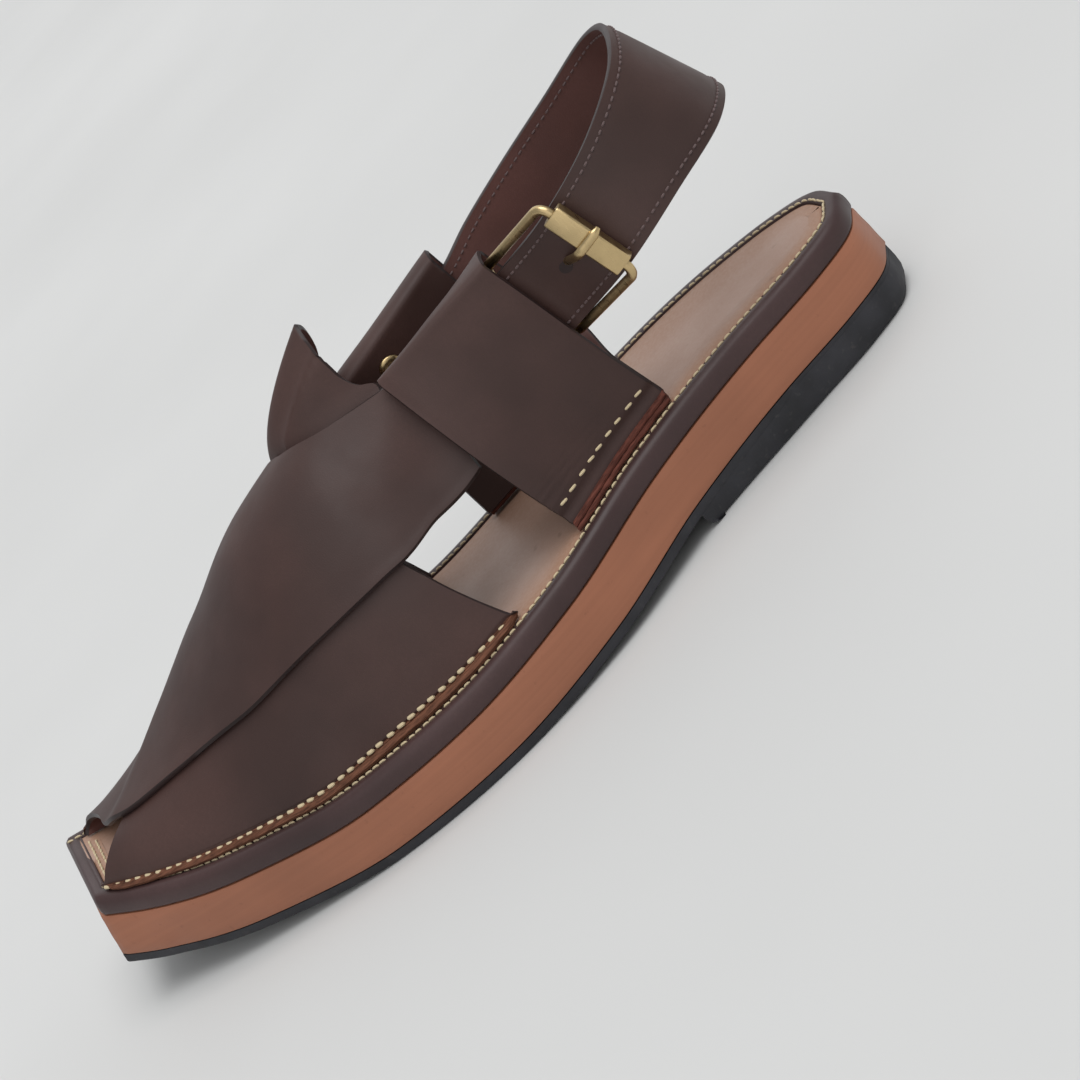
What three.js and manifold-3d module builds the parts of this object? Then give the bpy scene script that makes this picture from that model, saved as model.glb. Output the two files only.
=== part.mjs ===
// Left kaptan chappal: a crossed leather sandal on a layered sole, in millimetres, +Z up.
// While it is modelled, x runs from the heel's back (0) to the toe, +y is the lateral side.
// At the end the whole is shifted, so that the origin is the bottom centre of its box.

import * as THREE from 'three';
import { mergeVertices } from 'three/addons/utils/BufferGeometryUtils.js';
import Module from 'manifold-3d';

const wasm = await Module();
wasm.setup();

// Driving sizes of the sole
const length = 292;          // heel back to the middle of the straight toe
const ballWidth = 92;
const toeSlant = 9.5;        // how far the medial toe corner leads the lateral one
const midsoleThickness = 14.3;
const treadThickness = 3.4;  // rubber under the forefoot
const heelHeight = 11.2;     // rubber under the heel seat
const heelLength = 84;
const breastRadius = 5;
const toeSpring = 16.5;
const randHeight = 7;
const randWidth = 5.2;       // the leather strip round the insole
const insoleDip = 1.2;
const clearance = 0.3;       // between touching pieces

// Driving sizes of the upper
const leather = 2.2;
const instepHeight = 64;     // crest of the vamp over the rand
const footInset = 8.4;       // where the wall stands, in from the rand's edge
const flangeWidth = 3.4;
const hornRise = 20;         // tip of the lateral panel over the crest
const hornStart = 2;         // where it leaves the crest, behind the medial panel's rear edge
const loopLeather = 1.8;
const loopHeight = 60;       // of the lateral loop, over the rand
const medialLoopHeight = 63;
const foldReach = 2.2;       // how far a loop's fold reaches past its height

// Driving sizes of the heel strap and its buckle
const strapThickness = 2.4;
const strapTop = 109;        // top edge of the strap at the heel, over the floor
const tabThickness = 1.2;    // one of the two layers that hold the buckle
const tabWidth = 19;
const wireRadius = 1.4;
const buckleWidth = 29.4;    // between the middles of its two arms
const buckleCorner = 3.2;
const rollerWidth = 6.4;
const rollerThickness = 4.4;
const prongRadius = 1;
const holeRadius = 1.9;
const rivetRadius = 3.7;
const rivetHeadHeight = 1.3;
const rivetShankRadius = 1.4;

const seatHeight = heelHeight + midsoleThickness;
const ballHeight = treadThickness + midsoleThickness;

// Sole outline: [share of length, lateral and medial half width as shares of ball width]
const outlineRows = [
  [0.000, -0.043, 0.043],
  [0.017, 0.100, 0.184],
  [0.062, 0.180, 0.272],
  [0.145, 0.250, 0.340],
  [0.276, 0.363, 0.384],
  [0.414, 0.552, 0.318],
  [0.552, 0.630, 0.298],
  [0.672, 0.596, 0.390],
  [0.776, 0.490, 0.437],
  [0.879, 0.352, 0.400],
  [1.000, 0.156, 0.296],
];

// Top of the midsole: [share of length, share of the heel's lift, share of the toe spring]
const bedRows = [
  [0.00, 1.00, 0.00],
  [0.14, 1.00, 0.00],
  [0.29, 0.70, 0.00],
  [0.41, 0.28, 0.00],
  [0.55, 0.00, 0.00],
  [0.68, 0.00, 0.00],
  [0.83, 0.00, 0.24],
  [0.93, 0.00, 0.59],
  [1.00, 0.00, 1.02],
  [1.04, 0.00, 1.27],
];

// Vamp sections: [share of length, crest height as a share of the instep height,
// crest place from the lateral foot (0) to the medial foot (1), roundness lateral, medial]
const vampRows = [
  [0.330, 1.03, 0.60, 1.90, 0.72],
  [0.410, 1.01, 0.60, 1.90, 0.72],
  [0.520, 0.96, 0.62, 1.30, 0.70],
  [0.600, 0.87, 0.64, 1.20, 0.68],
  [0.720, 0.61, 0.68, 1.15, 0.70],
  [0.800, 0.41, 0.64, 1.05, 0.80],
  [0.870, 0.27, 0.57, 0.85, 0.85],
  [0.930, 0.16, 0.50, 0.62, 0.80],
  [0.985, 0.07, 0.48, 0.58, 0.80],
];

// Edges of a crossing panel: [share from its foot to its end,
// front edge: share of length, side, rear edge: share of length, side].
// A side of -1 is the panel's own foot, 0 the crest, and +1 the opposite foot.
const medialPanelRows = [
  [0.00, 0.976, -1.000, 0.542, -1.000],
  [0.12, 0.955, -0.450, 0.560, -0.860],
  [0.25, 0.912, 0.160, 0.572, -0.640],
  [0.33, 0.880, 0.335, 0.574, -0.500],
  [0.38, 0.850, 0.390, 0.570, -0.400],
  [0.58, 0.700, 0.540, 0.545, -0.100],
  [0.66, 0.633, 0.575, 0.511, 0.060],
  [0.74, 0.566, 0.592, 0.481, 0.150],
  [0.81, 0.506, 0.598, 0.450, 0.197],
  [0.90, 0.451, 0.562, 0.417, 0.235],
  [1.00, 0.397, 0.556, 0.390, 0.260],
];
const lateralPanelRows = [
  [0.00, 0.955, -1.00, 0.458, -1.000],
  [0.06, 0.946, -0.89, 0.469, -0.870],
  [0.18, 0.930, -0.62, 0.492, -0.680],
  [0.30, 0.908, -0.38, 0.503, -0.560],
  [0.40, 0.868, -0.18, 0.480, -0.420],
  [0.60, 0.700, 0.33, 0.416, -0.204],
  [0.66, 0.655, 0.41, 0.430, -0.145],
  [0.70, 0.625, 0.46, 0.436, -0.085],
  [0.78, 0.590, 0.52, 0.436, 0.050],
  [0.84, 0.583, 0.58, 0.434, 0.180],
  [0.90, 0.578, 0.65, 0.440, 0.300],
  [1.00, 0.570, 0.74, 0.460, 0.450],
];

// Standing end of the lateral panel: [side of the last, share of hornRise at the rear edge]
const hornRows = [
  [-0.75, 0.45],
  [-0.30, 0.78],
  [-0.14, 0.93],
  [-0.05, 0.72],
  [0.04, 0.40],
  [0.09, 0.24],
  [0.14, 0.08],
  [0.21, 0.00],
];

// Side loops: [share up from foot to fold, front edge, rear edge as shares of length,
// share of the way in from the foot's place to the fold's]
const lateralLoopRows = [
  [0.00, 0.368, 0.2340, 0.00],
  [0.25, 0.377, 0.2430, 0.06],
  [0.50, 0.387, 0.2510, 0.24],
  [0.75, 0.397, 0.2585, 0.55],
  [1.00, 0.408, 0.2670, 1.00],
];
const medialLoopRows = [
  [0.00, 0.452, 0.300, 0.00],
  [0.25, 0.452, 0.304, -0.10],
  [0.50, 0.451, 0.308, 0.00],
  [0.75, 0.450, 0.311, 0.35],
  [1.00, 0.448, 0.313, 1.00],
];
// Place of each fold across the shoe at its front and rear, as shares of ball width
const lateralFold = [0.20, 0.20];
const medialFold = [-0.14, -0.26];

// Heel strap from the lateral loop round to the medial one:
// [upper edge x, y, z, lower edge x, y, z] as shares of length, ball width and strap top
const strapRows = [
  [0.190, 0.283, 0.858, 0.166, 0.348, 0.642],
  [0.124, 0.294, 0.917, 0.093, 0.337, 0.688],
  [0.069, 0.190, 0.975, 0.034, 0.205, 0.697],
  [0.051, -0.043, 1.000, 0.012, -0.043, 0.688],
  [0.072, -0.245, 0.975, 0.036, -0.265, 0.670],
  [0.137, -0.326, 0.917, 0.113, -0.345, 0.628],
  [0.209, -0.330, 0.872, 0.195, -0.350, 0.606],
  [0.270, -0.300, 0.835, 0.264, -0.318, 0.590],
];

// Shape helpers

// Smooth curve through one column of a table, flat past its ends
function column(rows, index) {
  const xs = rows.map((row) => row[0]);
  const ys = rows.map((row) => row[index]);
  const steps = xs.slice(1).map((x, i) => (ys[i + 1] - ys[i]) / (x - xs[i]));
  const slopes = xs.map((x, i) => {
    if (i === 0) return steps[0];
    if (i === xs.length - 1) return steps[i - 1];
    const product = steps[i - 1] * steps[i];
    return product > 0 ? (2 * product) / (steps[i - 1] + steps[i]) : 0;
  });
  return (x) => {
    if (x <= xs[0]) return ys[0];
    if (x >= xs.at(-1)) return ys.at(-1);
    const i = xs.findIndex((next) => next > x) - 1;
    const width = xs[i + 1] - xs[i];
    const s = (x - xs[i]) / width;
    const rise = s * s * (3 - 2 * s);
    const bend = s * (1 - s) * ((1 - s) * slopes[i] - s * slopes[i + 1]) * width;
    return ys[i] + (ys[i + 1] - ys[i]) * rise + bend;
  };
}

const mix = THREE.MathUtils.lerp;
const smooth = THREE.MathUtils.smoothstep;
const vec = (x, y, z) => new THREE.Vector3(x, y, z);
const span = (count) => Array.from({ length: count + 1 }, (_, i) => i / count);

// Closed geometry from points and faces of three or four corners
function closedGeometry(points, faces) {
  const geometry = new THREE.BufferGeometry();
  geometry.setAttribute('position', new THREE.Float32BufferAttribute(
    points.flatMap((p) => [p.x, p.y, p.z]), 3));
  const index = [];
  for (const face of faces) {
    for (let k = 1; k + 1 < face.length; k += 1) index.push(face[0], face[k], face[k + 1]);
  }
  geometry.setIndex(index.filter((_, i) => {
    const [a, b, c] = index.slice(i - (i % 3), i - (i % 3) + 3);
    return a !== b && b !== c && c !== a;
  }));
  return geometry;
}

function toSolid(geometry) {
  const bare = geometry.clone();
  bare.deleteAttribute('normal');
  bare.deleteAttribute('uv');
  const merged = mergeVertices(bare, 1e-4);
  return new wasm.Manifold(new wasm.Mesh({
    numProp: 3,
    vertProperties: new Float32Array(merged.attributes.position.array),
    triVerts: new Uint32Array(merged.index.array),
  }));
}

function toGeometry(solid) {
  const mesh = solid.getMesh();
  const geometry = new THREE.BufferGeometry();
  geometry.setAttribute('position', new THREE.Float32BufferAttribute(mesh.vertProperties, 3));
  geometry.setIndex([...mesh.triVerts]);
  return geometry;
}

// Closed grid: rows of points, each row a ring, with a cap across the first and last row
function ringLoft(rings, capFirst, capLast) {
  const count = rings[0].length;
  const faces = [];
  for (let r = 0; r + 1 < rings.length; r += 1) {
    for (let i = 0; i < count; i += 1) {
      const j = (i + 1) % count;
      faces.push([r * count + i, r * count + j, (r + 1) * count + j, (r + 1) * count + i]);
    }
  }
  const last = (rings.length - 1) * count;
  if (capFirst) capFirst.forEach(([first, ...rest]) => faces.push([first, ...rest.reverse()]));
  if (capLast) capLast.forEach((face) => faces.push(face.map((i) => i + last)));
  return closedGeometry(rings.flat(), faces);
}

// Cap across a ring whose first and second half face each other
function ladder(count) {
  return span(Math.ceil(count / 2) - 2).map((_, i) => [i, i + 1, count - 2 - i, count - 1 - i]);
}

// The bed of the sole

const liftShare = column(bedRows, 1);
const springShare = column(bedRows, 2);
const bed = (x) => ballHeight + (seatHeight - ballHeight) * liftShare(x / length)
  + toeSpring * springShare(x / length);
const bedAngle = (x) => Math.atan((bed(x + 1) - bed(x - 1)) / 2);
const layer = (x, y, height) => vec(
  x - Math.sin(bedAngle(x)) * height, y, bed(x) + Math.cos(bedAngle(x)) * height);
const randTop = (x) => bed(x) + randHeight / Math.cos(bedAngle(x));

const lateralShare = column(outlineRows, 1);
const medialShare = column(outlineRows, 2);
const lateralEdge = (x) => ballWidth * lateralShare(x / length);
const medialEdge = (x) => -ballWidth * medialShare(x / length);

// Outline as a ring: lateral toe corner, heel back, medial toe corner
const sideSteps = 34;
function outlineSide(index, sign, slant) {
  const curve = new THREE.CatmullRomCurve3(outlineRows.map((row) => vec(
    row[0] * length + slant * smooth(row[0], 0.9, 1), sign * row[index] * ballWidth, 0)));
  return curve.getSpacedPoints(sideSteps);
}
const lateralSide = outlineSide(1, 1, -toeSlant / 2).reverse();
const medialSide = outlineSide(2, -1, toeSlant / 2).slice(1);
const outline = [...lateralSide, ...medialSide];

// The outline moved in by a distance, with its sharp toe corners kept
function insetOutline(distance) {
  const count = outline.length;
  return outline.map((point, i) => {
    const before = outline[(i + count - 1) % count];
    const after = outline[(i + 1) % count];
    const a = point.clone().sub(before).normalize();
    const b = after.clone().sub(point).normalize();
    const inward = vec(-(a.y + b.y), a.x + b.x, 0).normalize();
    const miter = Math.max(0.5, inward.dot(vec(-a.y, a.x, 0)));
    return point.clone().addScaledVector(inward, distance / miter);
  });
}

// Rings at [inset, height over the bed], as a solid between the first and the last
function soleLayer(steps, place = layer) {
  const rings = steps.map(([inset, height]) =>
    insetOutline(inset).map((p) => place(p.x, p.y, height)));
  return ringLoft(rings, ladder(outline.length), ladder(outline.length));
}

// Sole pieces

const midsoleBevel = 0.5;
const insoleFlat = 0.28;     // share of the way across at which the insole's dip is flat
const onFloor = (x, y, height) => {
  const point = layer(x, y, height);
  point.z = Math.max(point.z, 0);
  return point;
};

function outsoleGeometry() {
  const under = -midsoleThickness - clearance;
  const bottom = -midsoleThickness - treadThickness;
  const plate = toSolid(soleLayer([[1.6, bottom], [0.7, bottom + 0.8], [0.6, under]], onFloor));
  const toSeat = (x, y, height) => vec(x, y, Math.min(height, bed(x) - midsoleThickness - 1.5));
  const block = toSolid(soleLayer([[3.4, 0], [1.8, 1.6], [0.6, 6], [0.6, seatHeight]], toSeat));
  const profile = new THREE.Shape();
  profile.moveTo(-length, -1);
  profile.lineTo(heelLength - breastRadius, -1);
  profile.lineTo(heelLength - breastRadius, 0);
  profile.absarc(heelLength - breastRadius, breastRadius, breastRadius, -Math.PI / 2, 0, false);
  profile.lineTo(heelLength + 2, seatHeight);
  profile.lineTo(-length, seatHeight);
  const cutter = new THREE.ExtrudeGeometry(profile, {
    depth: 2 * ballWidth, bevelEnabled: false, curveSegments: 6,
  });
  cutter.rotateX(Math.PI / 2);
  cutter.translate(0, ballWidth, 0);
  return toGeometry(plate.add(block.intersect(toSolid(cutter))));
}

function midsoleGeometry() {
  return soleLayer([
    [0.8, -midsoleThickness], [0.2, -midsoleThickness + midsoleBevel],
    [0.2, -midsoleBevel], [0.8, 0],
  ]);
}

function randGeometry() {
  const section = [
    [0.5, clearance], [-0.1, 1.4], [-0.2, randHeight - 2.6], [0.4, randHeight - 1],
    [1.6, randHeight], [randWidth, randHeight], [randWidth, clearance], [0.5, clearance],
  ];
  const rings = section.map(([inset, height]) =>
    insetOutline(inset).map((p) => layer(p.x, p.y, height)));
  return ringLoft(rings);
}

function insoleGeometry() {
  const inset = randWidth + clearance;
  const rings = [
    [inset, clearance], [inset, randHeight - 0.8], [inset + 0.6, randHeight - 0.2],
    [footInset + 1.5, randHeight - 0.3],
  ].map(([distance, height]) => insetOutline(distance).map((p) => layer(p.x, p.y, height)));
  const edge = insetOutline(footInset + 1.5);
  const middle = edge.map((point, i) => {
    const across = edge[edge.length - 1 - i];
    return layer(mix(point.x, across.x, insoleFlat), mix(point.y, across.y, insoleFlat),
      randHeight - insoleDip);
  });
  return ringLoft([...rings, middle], ladder(outline.length), ladder(outline.length));
}

// The vamp

const crestShare = column(vampRows, 1);
const crestPlace = column(vampRows, 2);
const lateralRound = column(vampRows, 3);
const medialRound = column(vampRows, 4);

// Point of the last: side is -1 at the medial foot, 0 on the crest, +1 at the lateral foot
function lastPoint(x, side) {
  const share = x / length;
  const lateralFoot = lateralEdge(x) - footInset;
  const medialFoot = medialEdge(x) + footInset;
  const crest = mix(lateralFoot, medialFoot, crestPlace(share));
  const foot = side > 0 ? lateralFoot : medialFoot;
  const round = side > 0 ? lateralRound(share) : medialRound(share);
  const turn = Math.min(Math.abs(side), 1) * Math.PI / 2;
  const out = Math.sin(turn) ** round;
  const up = Math.max(Math.cos(turn), 0) ** round;
  const rise = instepHeight * crestShare(share);
  return vec(x, mix(crest, foot, out), randTop(x) + clearance + rise * up);
}

function lastNormal(x, side) {
  const d = 0.02;
  const reach = THREE.MathUtils.clamp(side, -0.97, 0.97);
  const along = lastPoint(x + 1, reach).sub(lastPoint(x - 1, reach));
  const around = lastPoint(x, reach + d).sub(lastPoint(x, reach - d));
  return around.cross(along).negate().normalize();
}

// Share of the lift that the inside of the upper panel follows, so that the two stay joined
const panelBite = 0.25;

const rearBySide = (rows, sign) => column(
  rows.map((row) => [sign * row[4], row[3]]).sort((a, b) => a[0] - b[0]), 1);
const medialRear = rearBySide(medialPanelRows, 1);
const lateralRear = rearBySide(lateralPanelRows, -1);
const hornShare = column(hornRows, 1);

// Height over the last of the lateral panel's end, which stands up behind the medial panel
function hornHeight(x, side) {
  const start = medialRear(side) * length - hornStart;
  const run = Math.max(start - lateralRear(side) * length, hornStart);
  return hornRise * hornShare(side) * THREE.MathUtils.clamp((start - x) / run, 0, 1) ** 0.5;
}

// One crossing panel as a wall: sign is -1 for the medial foot, +1 for the lateral one
function panelSolid(rows, sign, base, rise) {
  const columns = [1, 2, 3, 4].map((index) => column(rows, index));
  const alongSteps = 26;
  const acrossSteps = 12;
  const outer = [];
  const inner = [];
  for (const u of [-2, -1, ...span(alongSteps)]) {
    const [frontX, frontSide, rearX, rearSide] = columns.map((f) => f(Math.max(u, 0)));
    for (const v of span(acrossSteps)) {
      const x = mix(frontX, rearX, v) * length;
      const side = -sign * mix(frontSide, rearSide, v);
      const low = base(x, side);
      const point = lastPoint(x, side).add(vec(0, 0, rise(x, side)));
      const normal = lastNormal(x, side);
      if (u < 0) {
        const turnOut = u === -2 ? flangeWidth : leather + 0.4;
        inner.push(point.clone().add(vec(0, sign * (u === -2 ? flangeWidth : 0.6), 0)));
        outer.push(point.clone().add(vec(0, sign * turnOut, leather + (u === -2 ? 0 : 0.1))));
        continue;
      }
      inner.push(point.clone().addScaledVector(normal, low * panelBite));
      outer.push(point.clone().addScaledVector(normal, low + leather));
      if (u === 0) outer.at(-1).z += leather + 0.6;
    }
  }
  return toSolid(wallGeometry(outer, inner, alongSteps + 3, acrossSteps + 1, sign));
}

// Closed wall between two grids of points with the same rows and columns
function wallGeometry(outer, inner, rowCount, columnCount, sign) {
  const faces = [];
  const offset = outer.length;
  const quad = (a, b, c, d) => faces.push(sign > 0 ? [a, b, c, d] : [d, c, b, a]);
  for (let r = 0; r + 1 < rowCount; r += 1) {
    for (let c = 0; c + 1 < columnCount; c += 1) {
      const i = r * columnCount + c;
      quad(i, i + 1, i + columnCount + 1, i + columnCount);
      quad(offset + i + columnCount, offset + i + columnCount + 1, offset + i + 1, offset + i);
    }
  }
  for (let c = 0; c + 1 < columnCount; c += 1) {
    const last = (rowCount - 1) * columnCount + c;
    quad(offset + c, offset + c + 1, c + 1, c);
    quad(last, last + 1, offset + last + 1, offset + last);
  }
  for (let r = 0; r + 1 < rowCount; r += 1) {
    const left = r * columnCount;
    const right = left + columnCount - 1;
    quad(left, left + columnCount, offset + left + columnCount, offset + left);
    quad(offset + right, offset + right + columnCount, right + columnCount, right);
  }
  return closedGeometry([...outer, ...inner], faces);
}

// How far the medial panel is lifted where it lies over the lateral one
const underRows = lateralPanelRows.filter((row) => row[0] <= 0.6 || row[0] === 1);
const underFront = column(underRows.map((row) => [-row[2], row[1]]).sort((a, b) => a[0] - b[0]), 1);
const underRear = column(underRows.map((row) => [-row[4], row[3]]).sort((a, b) => a[0] - b[0]), 1);
function overLateral(x, side) {
  const fromFront = smooth(underFront(side) * length - x, -9, 0);
  const fromRear = smooth(x - underRear(side) * length, -28, 0);
  const fromSide = smooth(side, -0.95, -0.6);
  return (leather - 0.1) * fromFront * fromRear * fromSide;
}

function upperGeometry() {
  const lateral = panelSolid(lateralPanelRows, 1, () => 0, hornHeight);
  const medial = panelSolid(medialPanelRows, -1, overLateral, () => 0);
  return toGeometry(lateral.add(medial));
}

// The side loops

// A loop's leather: share up from the foot, share from the front edge to the rear one,
// depth in from its outer side, and distance on along its slope
function loopPoint(rows, sign, fold, up, along, depth, onward = 0) {
  const at = (share) => {
    const [front, rear, inward] = [1, 2, 3].map((index) => column(rows, index)(share));
    const x = mix(front, rear, along) * length;
    const footX = mix(rows[0][1], rows[0][2], along) * length;
    const foot = sign > 0 ? lateralEdge(footX) - footInset : medialEdge(footX) + footInset;
    const top = ballWidth * mix(fold[0], fold[1], along);
    const height = sign > 0 ? loopHeight : medialLoopHeight;
    return vec(x, mix(foot, top, inward), randTop(footX) + clearance + share * height);
  };
  const slope = at(up + 0.02).sub(at(up - 0.02));
  if (up < 0.02 || up > 0.98) slope.copy(at(Math.min(up + 0.02, 1)).sub(at(Math.max(up - 0.02, 0))));
  slope.setX(0).normalize();
  return at(up).add(vec(0, -sign * slope.z * depth, sign * slope.y * depth))
    .addScaledVector(slope, onward);
}

const slotLow = 0.44;
const slotHigh = 0.985;
const loopSteps = 11;
const slotOpen = 0.35;       // share along the loop at which its tunnel is fully open
const slotMouth = 0.62;      // share at which it begins to widen for the buckle's bar
const slotSlack = 1.5;       // play of the strap in its tunnel
const slotReach = foldReach - loopLeather + (1 - slotHigh) * loopHeight;
const loopStations = span(8);

function loopSolid(rows, sign, fold, slot, slotFront, mouth) {
  const place = (...where) => loopPoint(rows, sign, fold, ...where);
  const slotAt = (along) => mix(slotFront, slot, smooth(along, 0, slotOpen))
    + mouth * smooth(along, slotMouth, 1);
  const depthAt = (up, full) => mix(2 * loopLeather, full, smooth(up, slotLow - 0.14, slotLow));
  const ups = span(loopSteps);
  const foot = [[0, -flangeWidth, 0], [0, -flangeWidth, loopLeather],
    [0, -flangeWidth + 1, loopLeather + 0.1], [0, -flangeWidth + 1, 2 * loopLeather],
    [0, -flangeWidth + 2, 2 * loopLeather + 0.1], [0, -flangeWidth + 2, 3 * loopLeather]];
  const arc = (low, high, top, round) => span(6).map((k) => {
    const turn = k * Math.PI;
    return [top, mix(low, high, (1 - Math.cos(turn)) / 2), Math.sin(turn) * round];
  });
  const outerRing = (along) => {
    const full = 2 * loopLeather + slotAt(along);
    return [
      ...foot,
      ...ups.slice(2, -1).map((up) => [up, 0, 0]),
      ...arc(0, full, 1, foldReach),
      ...ups.slice(0, -1).reverse().map((up) => [up, depthAt(up, full), 0]),
    ].map(([up, depth, onward]) => place(up, along, depth, onward));
  };
  const slotUps = span(8).map((k) => mix(slotLow, slotHigh, k));
  const slotRing = (along) => {
    const inner = loopLeather + slotAt(along);
    return [
      ...slotUps.slice(0, -1).map((up) => [up, loopLeather, 0]),
      ...arc(loopLeather, inner, slotHigh, slotReach),
      ...slotUps.slice(0, -1).reverse().map((up) => [up, inner, 0]),
    ].map(([up, depth, onward]) => place(up, along, depth, onward));
  };
  const body = lofted(loopStations.map(outerRing));
  const hole = lofted([-0.1, ...loopStations, 1.1].map(slotRing));
  return body.subtract(hole);
}

// Solid through rings of points, each capped as the polygon that it shows along x
function lofted(rings) {
  const ring = rings[0].map((p) => new THREE.Vector2(p.y, p.z));
  const turned = THREE.ShapeUtils.isClockWise(ring);
  const caps = THREE.ShapeUtils.triangulateShape(ring, [])
    .map((face) => (turned ? [...face].reverse() : face));
  return toSolid(facingOut(ringLoft(rings, caps, caps)));
}

// The same closed geometry, turned inside out where its volume is negative
function facingOut(geometry) {
  const p = geometry.attributes.position;
  const corner = (i) => vec(p.getX(i), p.getY(i), p.getZ(i));
  const index = [...geometry.index.array];
  let volume = 0;
  for (let i = 0; i < index.length; i += 3) {
    const [a, b, c] = index.slice(i, i + 3).map(corner);
    volume += a.dot(b.cross(c));
  }
  if (volume < 0) geometry.setIndex(index.reverse());
  return geometry;
}

const lateralSlot = strapThickness + 2 * tabThickness + 3 * clearance + slotSlack;
const medialSlot = strapThickness + 2 * clearance + slotSlack;
const buckleRoom = 6.4;      // how far the inner leather bulges round the buckle's bar

// The heel strap

// Where the strap runs inside a loop: shares up its height, and along it from front to rear
const strapUpper = 0.93;
const strapLower = 0.51;
const strapDepth = loopLeather + clearance + slotSlack / 2 + strapThickness / 2;
const lateralTailEnd = 0.38;
const medialTailEnd = 0.12;

function strapEdge(index, up) {
  const inLateral = (along) =>
    loopPoint(lateralLoopRows, 1, lateralFold, up, along, strapDepth);
  const inMedial = (along) =>
    loopPoint(medialLoopRows, -1, medialFold, up, along, strapDepth);
  const free = strapRows.map((row) =>
    vec(row[index] * length, row[index + 1] * ballWidth, row[index + 2] * strapTop));
  return new THREE.CatmullRomCurve3([
    inLateral(lateralTailEnd), inLateral(0.7), inLateral(1), ...free,
    inMedial(1), inMedial(0.6), inMedial(medialTailEnd),
  ], false, 'centripetal');
}

const upperEdge = strapEdge(0, strapUpper);
const lowerEdge = strapEdge(3, strapLower);
const strapStations = 56;

// Frame of the strap at a share of its path: middle, along, across and outward
function strapFrame(share) {
  const top = upperEdge.getPoint(share);
  const bottom = lowerEdge.getPoint(share);
  const middle = top.clone().lerp(bottom, 0.5);
  const across = top.clone().sub(bottom).normalize();
  const along = upperEdge.getTangent(share).add(lowerEdge.getTangent(share)).normalize();
  const outward = along.cross(across).normalize();
  return { top, bottom, middle, across, outward };
}

const rollerShare = 0.234;
const holeShare = 0.200;
const baseShare = 0.142;
const tabEndShare = 0.05;

function strapSolid() {
  const rings = span(strapStations).map((share) => {
    const { top, bottom, outward } = strapFrame(share);
    const out = outward.clone().multiplyScalar(strapThickness / 2);
    return [top.clone().add(out), top.clone().sub(out),
      bottom.clone().sub(out), bottom.clone().add(out)];
  });
  const caps = [[0, 1, 2, 3]];
  const band = toSolid(facingOut(ringLoft(rings, caps, caps)));
  return band.subtract(pin(strapFrame(holeShare), holeRadius, 2 * strapThickness))
    .subtract(toSolid(prongBar(prongRadius + clearance)))
    .subtract(pin(rivetFrame(), rivetShankRadius + clearance, 4 * strapThickness));
}

// A round pin centred on a point, with its axis along a direction
function pinAlong(centre, direction, radius, reach) {
  const geometry = new THREE.CylinderGeometry(radius, radius, reach, 12);
  geometry.applyQuaternion(new THREE.Quaternion().setFromUnitVectors(vec(0, 1, 0), direction));
  geometry.translate(centre.x, centre.y, centre.z);
  return toSolid(geometry);
}
const pin = ({ middle, outward }, radius, reach) => pinAlong(middle, outward, radius, reach);

// The rivet through the medial loop and the strap's end

const rivetAlong = 0.28;
const rivetUp = 0.885;

function rivetFrame() {
  const at = (up, along) =>
    loopPoint(medialLoopRows, -1, medialFold, up, along, strapDepth);
  const middle = at(rivetUp, rivetAlong);
  const up = at(rivetUp + 0.05, rivetAlong).sub(at(rivetUp - 0.05, rivetAlong));
  const back = at(rivetUp, rivetAlong + 0.1).sub(at(rivetUp, rivetAlong - 0.1));
  return { middle, outward: up.cross(back).normalize() };
}

function rivetGeometry() {
  const { middle, outward } = rivetFrame();
  const face = (strapThickness + slotSlack) / 2 + loopLeather + 2.5 * clearance;
  const dome = (sign) => [
    [rivetRadius, sign * face], [rivetRadius, sign * (face + rivetHeadHeight * 0.5)],
    [rivetRadius * 0.75, sign * (face + rivetHeadHeight)],
    [0, sign * (face + rivetHeadHeight * 0.9)]];
  const profile = [...dome(-1).reverse(), [rivetShankRadius, -face], [rivetShankRadius, face],
    ...dome(1)];
  const geometry = new THREE.LatheGeometry(
    profile.map(([x, y]) => new THREE.Vector2(x, y)), 18);
  geometry.applyQuaternion(new THREE.Quaternion().setFromUnitVectors(vec(0, 1, 0), outward));
  geometry.translate(middle.x, middle.y, middle.z);
  return toGeometry(toSolid(facingOut(mergedIndex(geometry))));
}

// The buckle

// Point of the buckle: along the strap from the roller's bar to the loop, across, outward
const rollerFrame = strapFrame(rollerShare);
const baseFrame = strapFrame(baseShare);
// How far the strap's outer face bows out under the roller, from the strap's middle
const rollerSpan = rollerWidth / upperEdge.getLength();
const strapReach = Math.max(...span(8).flatMap((k) => {
  const { top, bottom, outward } = strapFrame(rollerShare + mix(-rollerSpan, rollerSpan, k));
  return [top, bottom].map((p) => p.clone().addScaledVector(outward, strapThickness / 2)
    .sub(rollerFrame.middle).dot(rollerFrame.outward));
}));
const rollerLift = strapReach + 4 * clearance + rollerThickness / 2;
const baseDrop = strapThickness / 2 + 2 * clearance + 2 * prongRadius + wireRadius;
const buckleAxis = baseFrame.middle.clone().addScaledVector(baseFrame.outward, -baseDrop)
  .sub(rollerFrame.middle.clone().addScaledVector(rollerFrame.outward, rollerLift));
const buckleReach = buckleAxis.length();
const toLoop = buckleAxis.clone().normalize();
const buckleUp = rollerFrame.across.clone()
  .addScaledVector(toLoop, -rollerFrame.across.dot(toLoop)).normalize();
const buckleOut = toLoop.clone().cross(buckleUp).normalize();
if (buckleOut.dot(rollerFrame.outward) < 0) buckleOut.negate();
const rollerMiddle = rollerFrame.middle.clone().addScaledVector(rollerFrame.outward, rollerLift);
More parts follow.
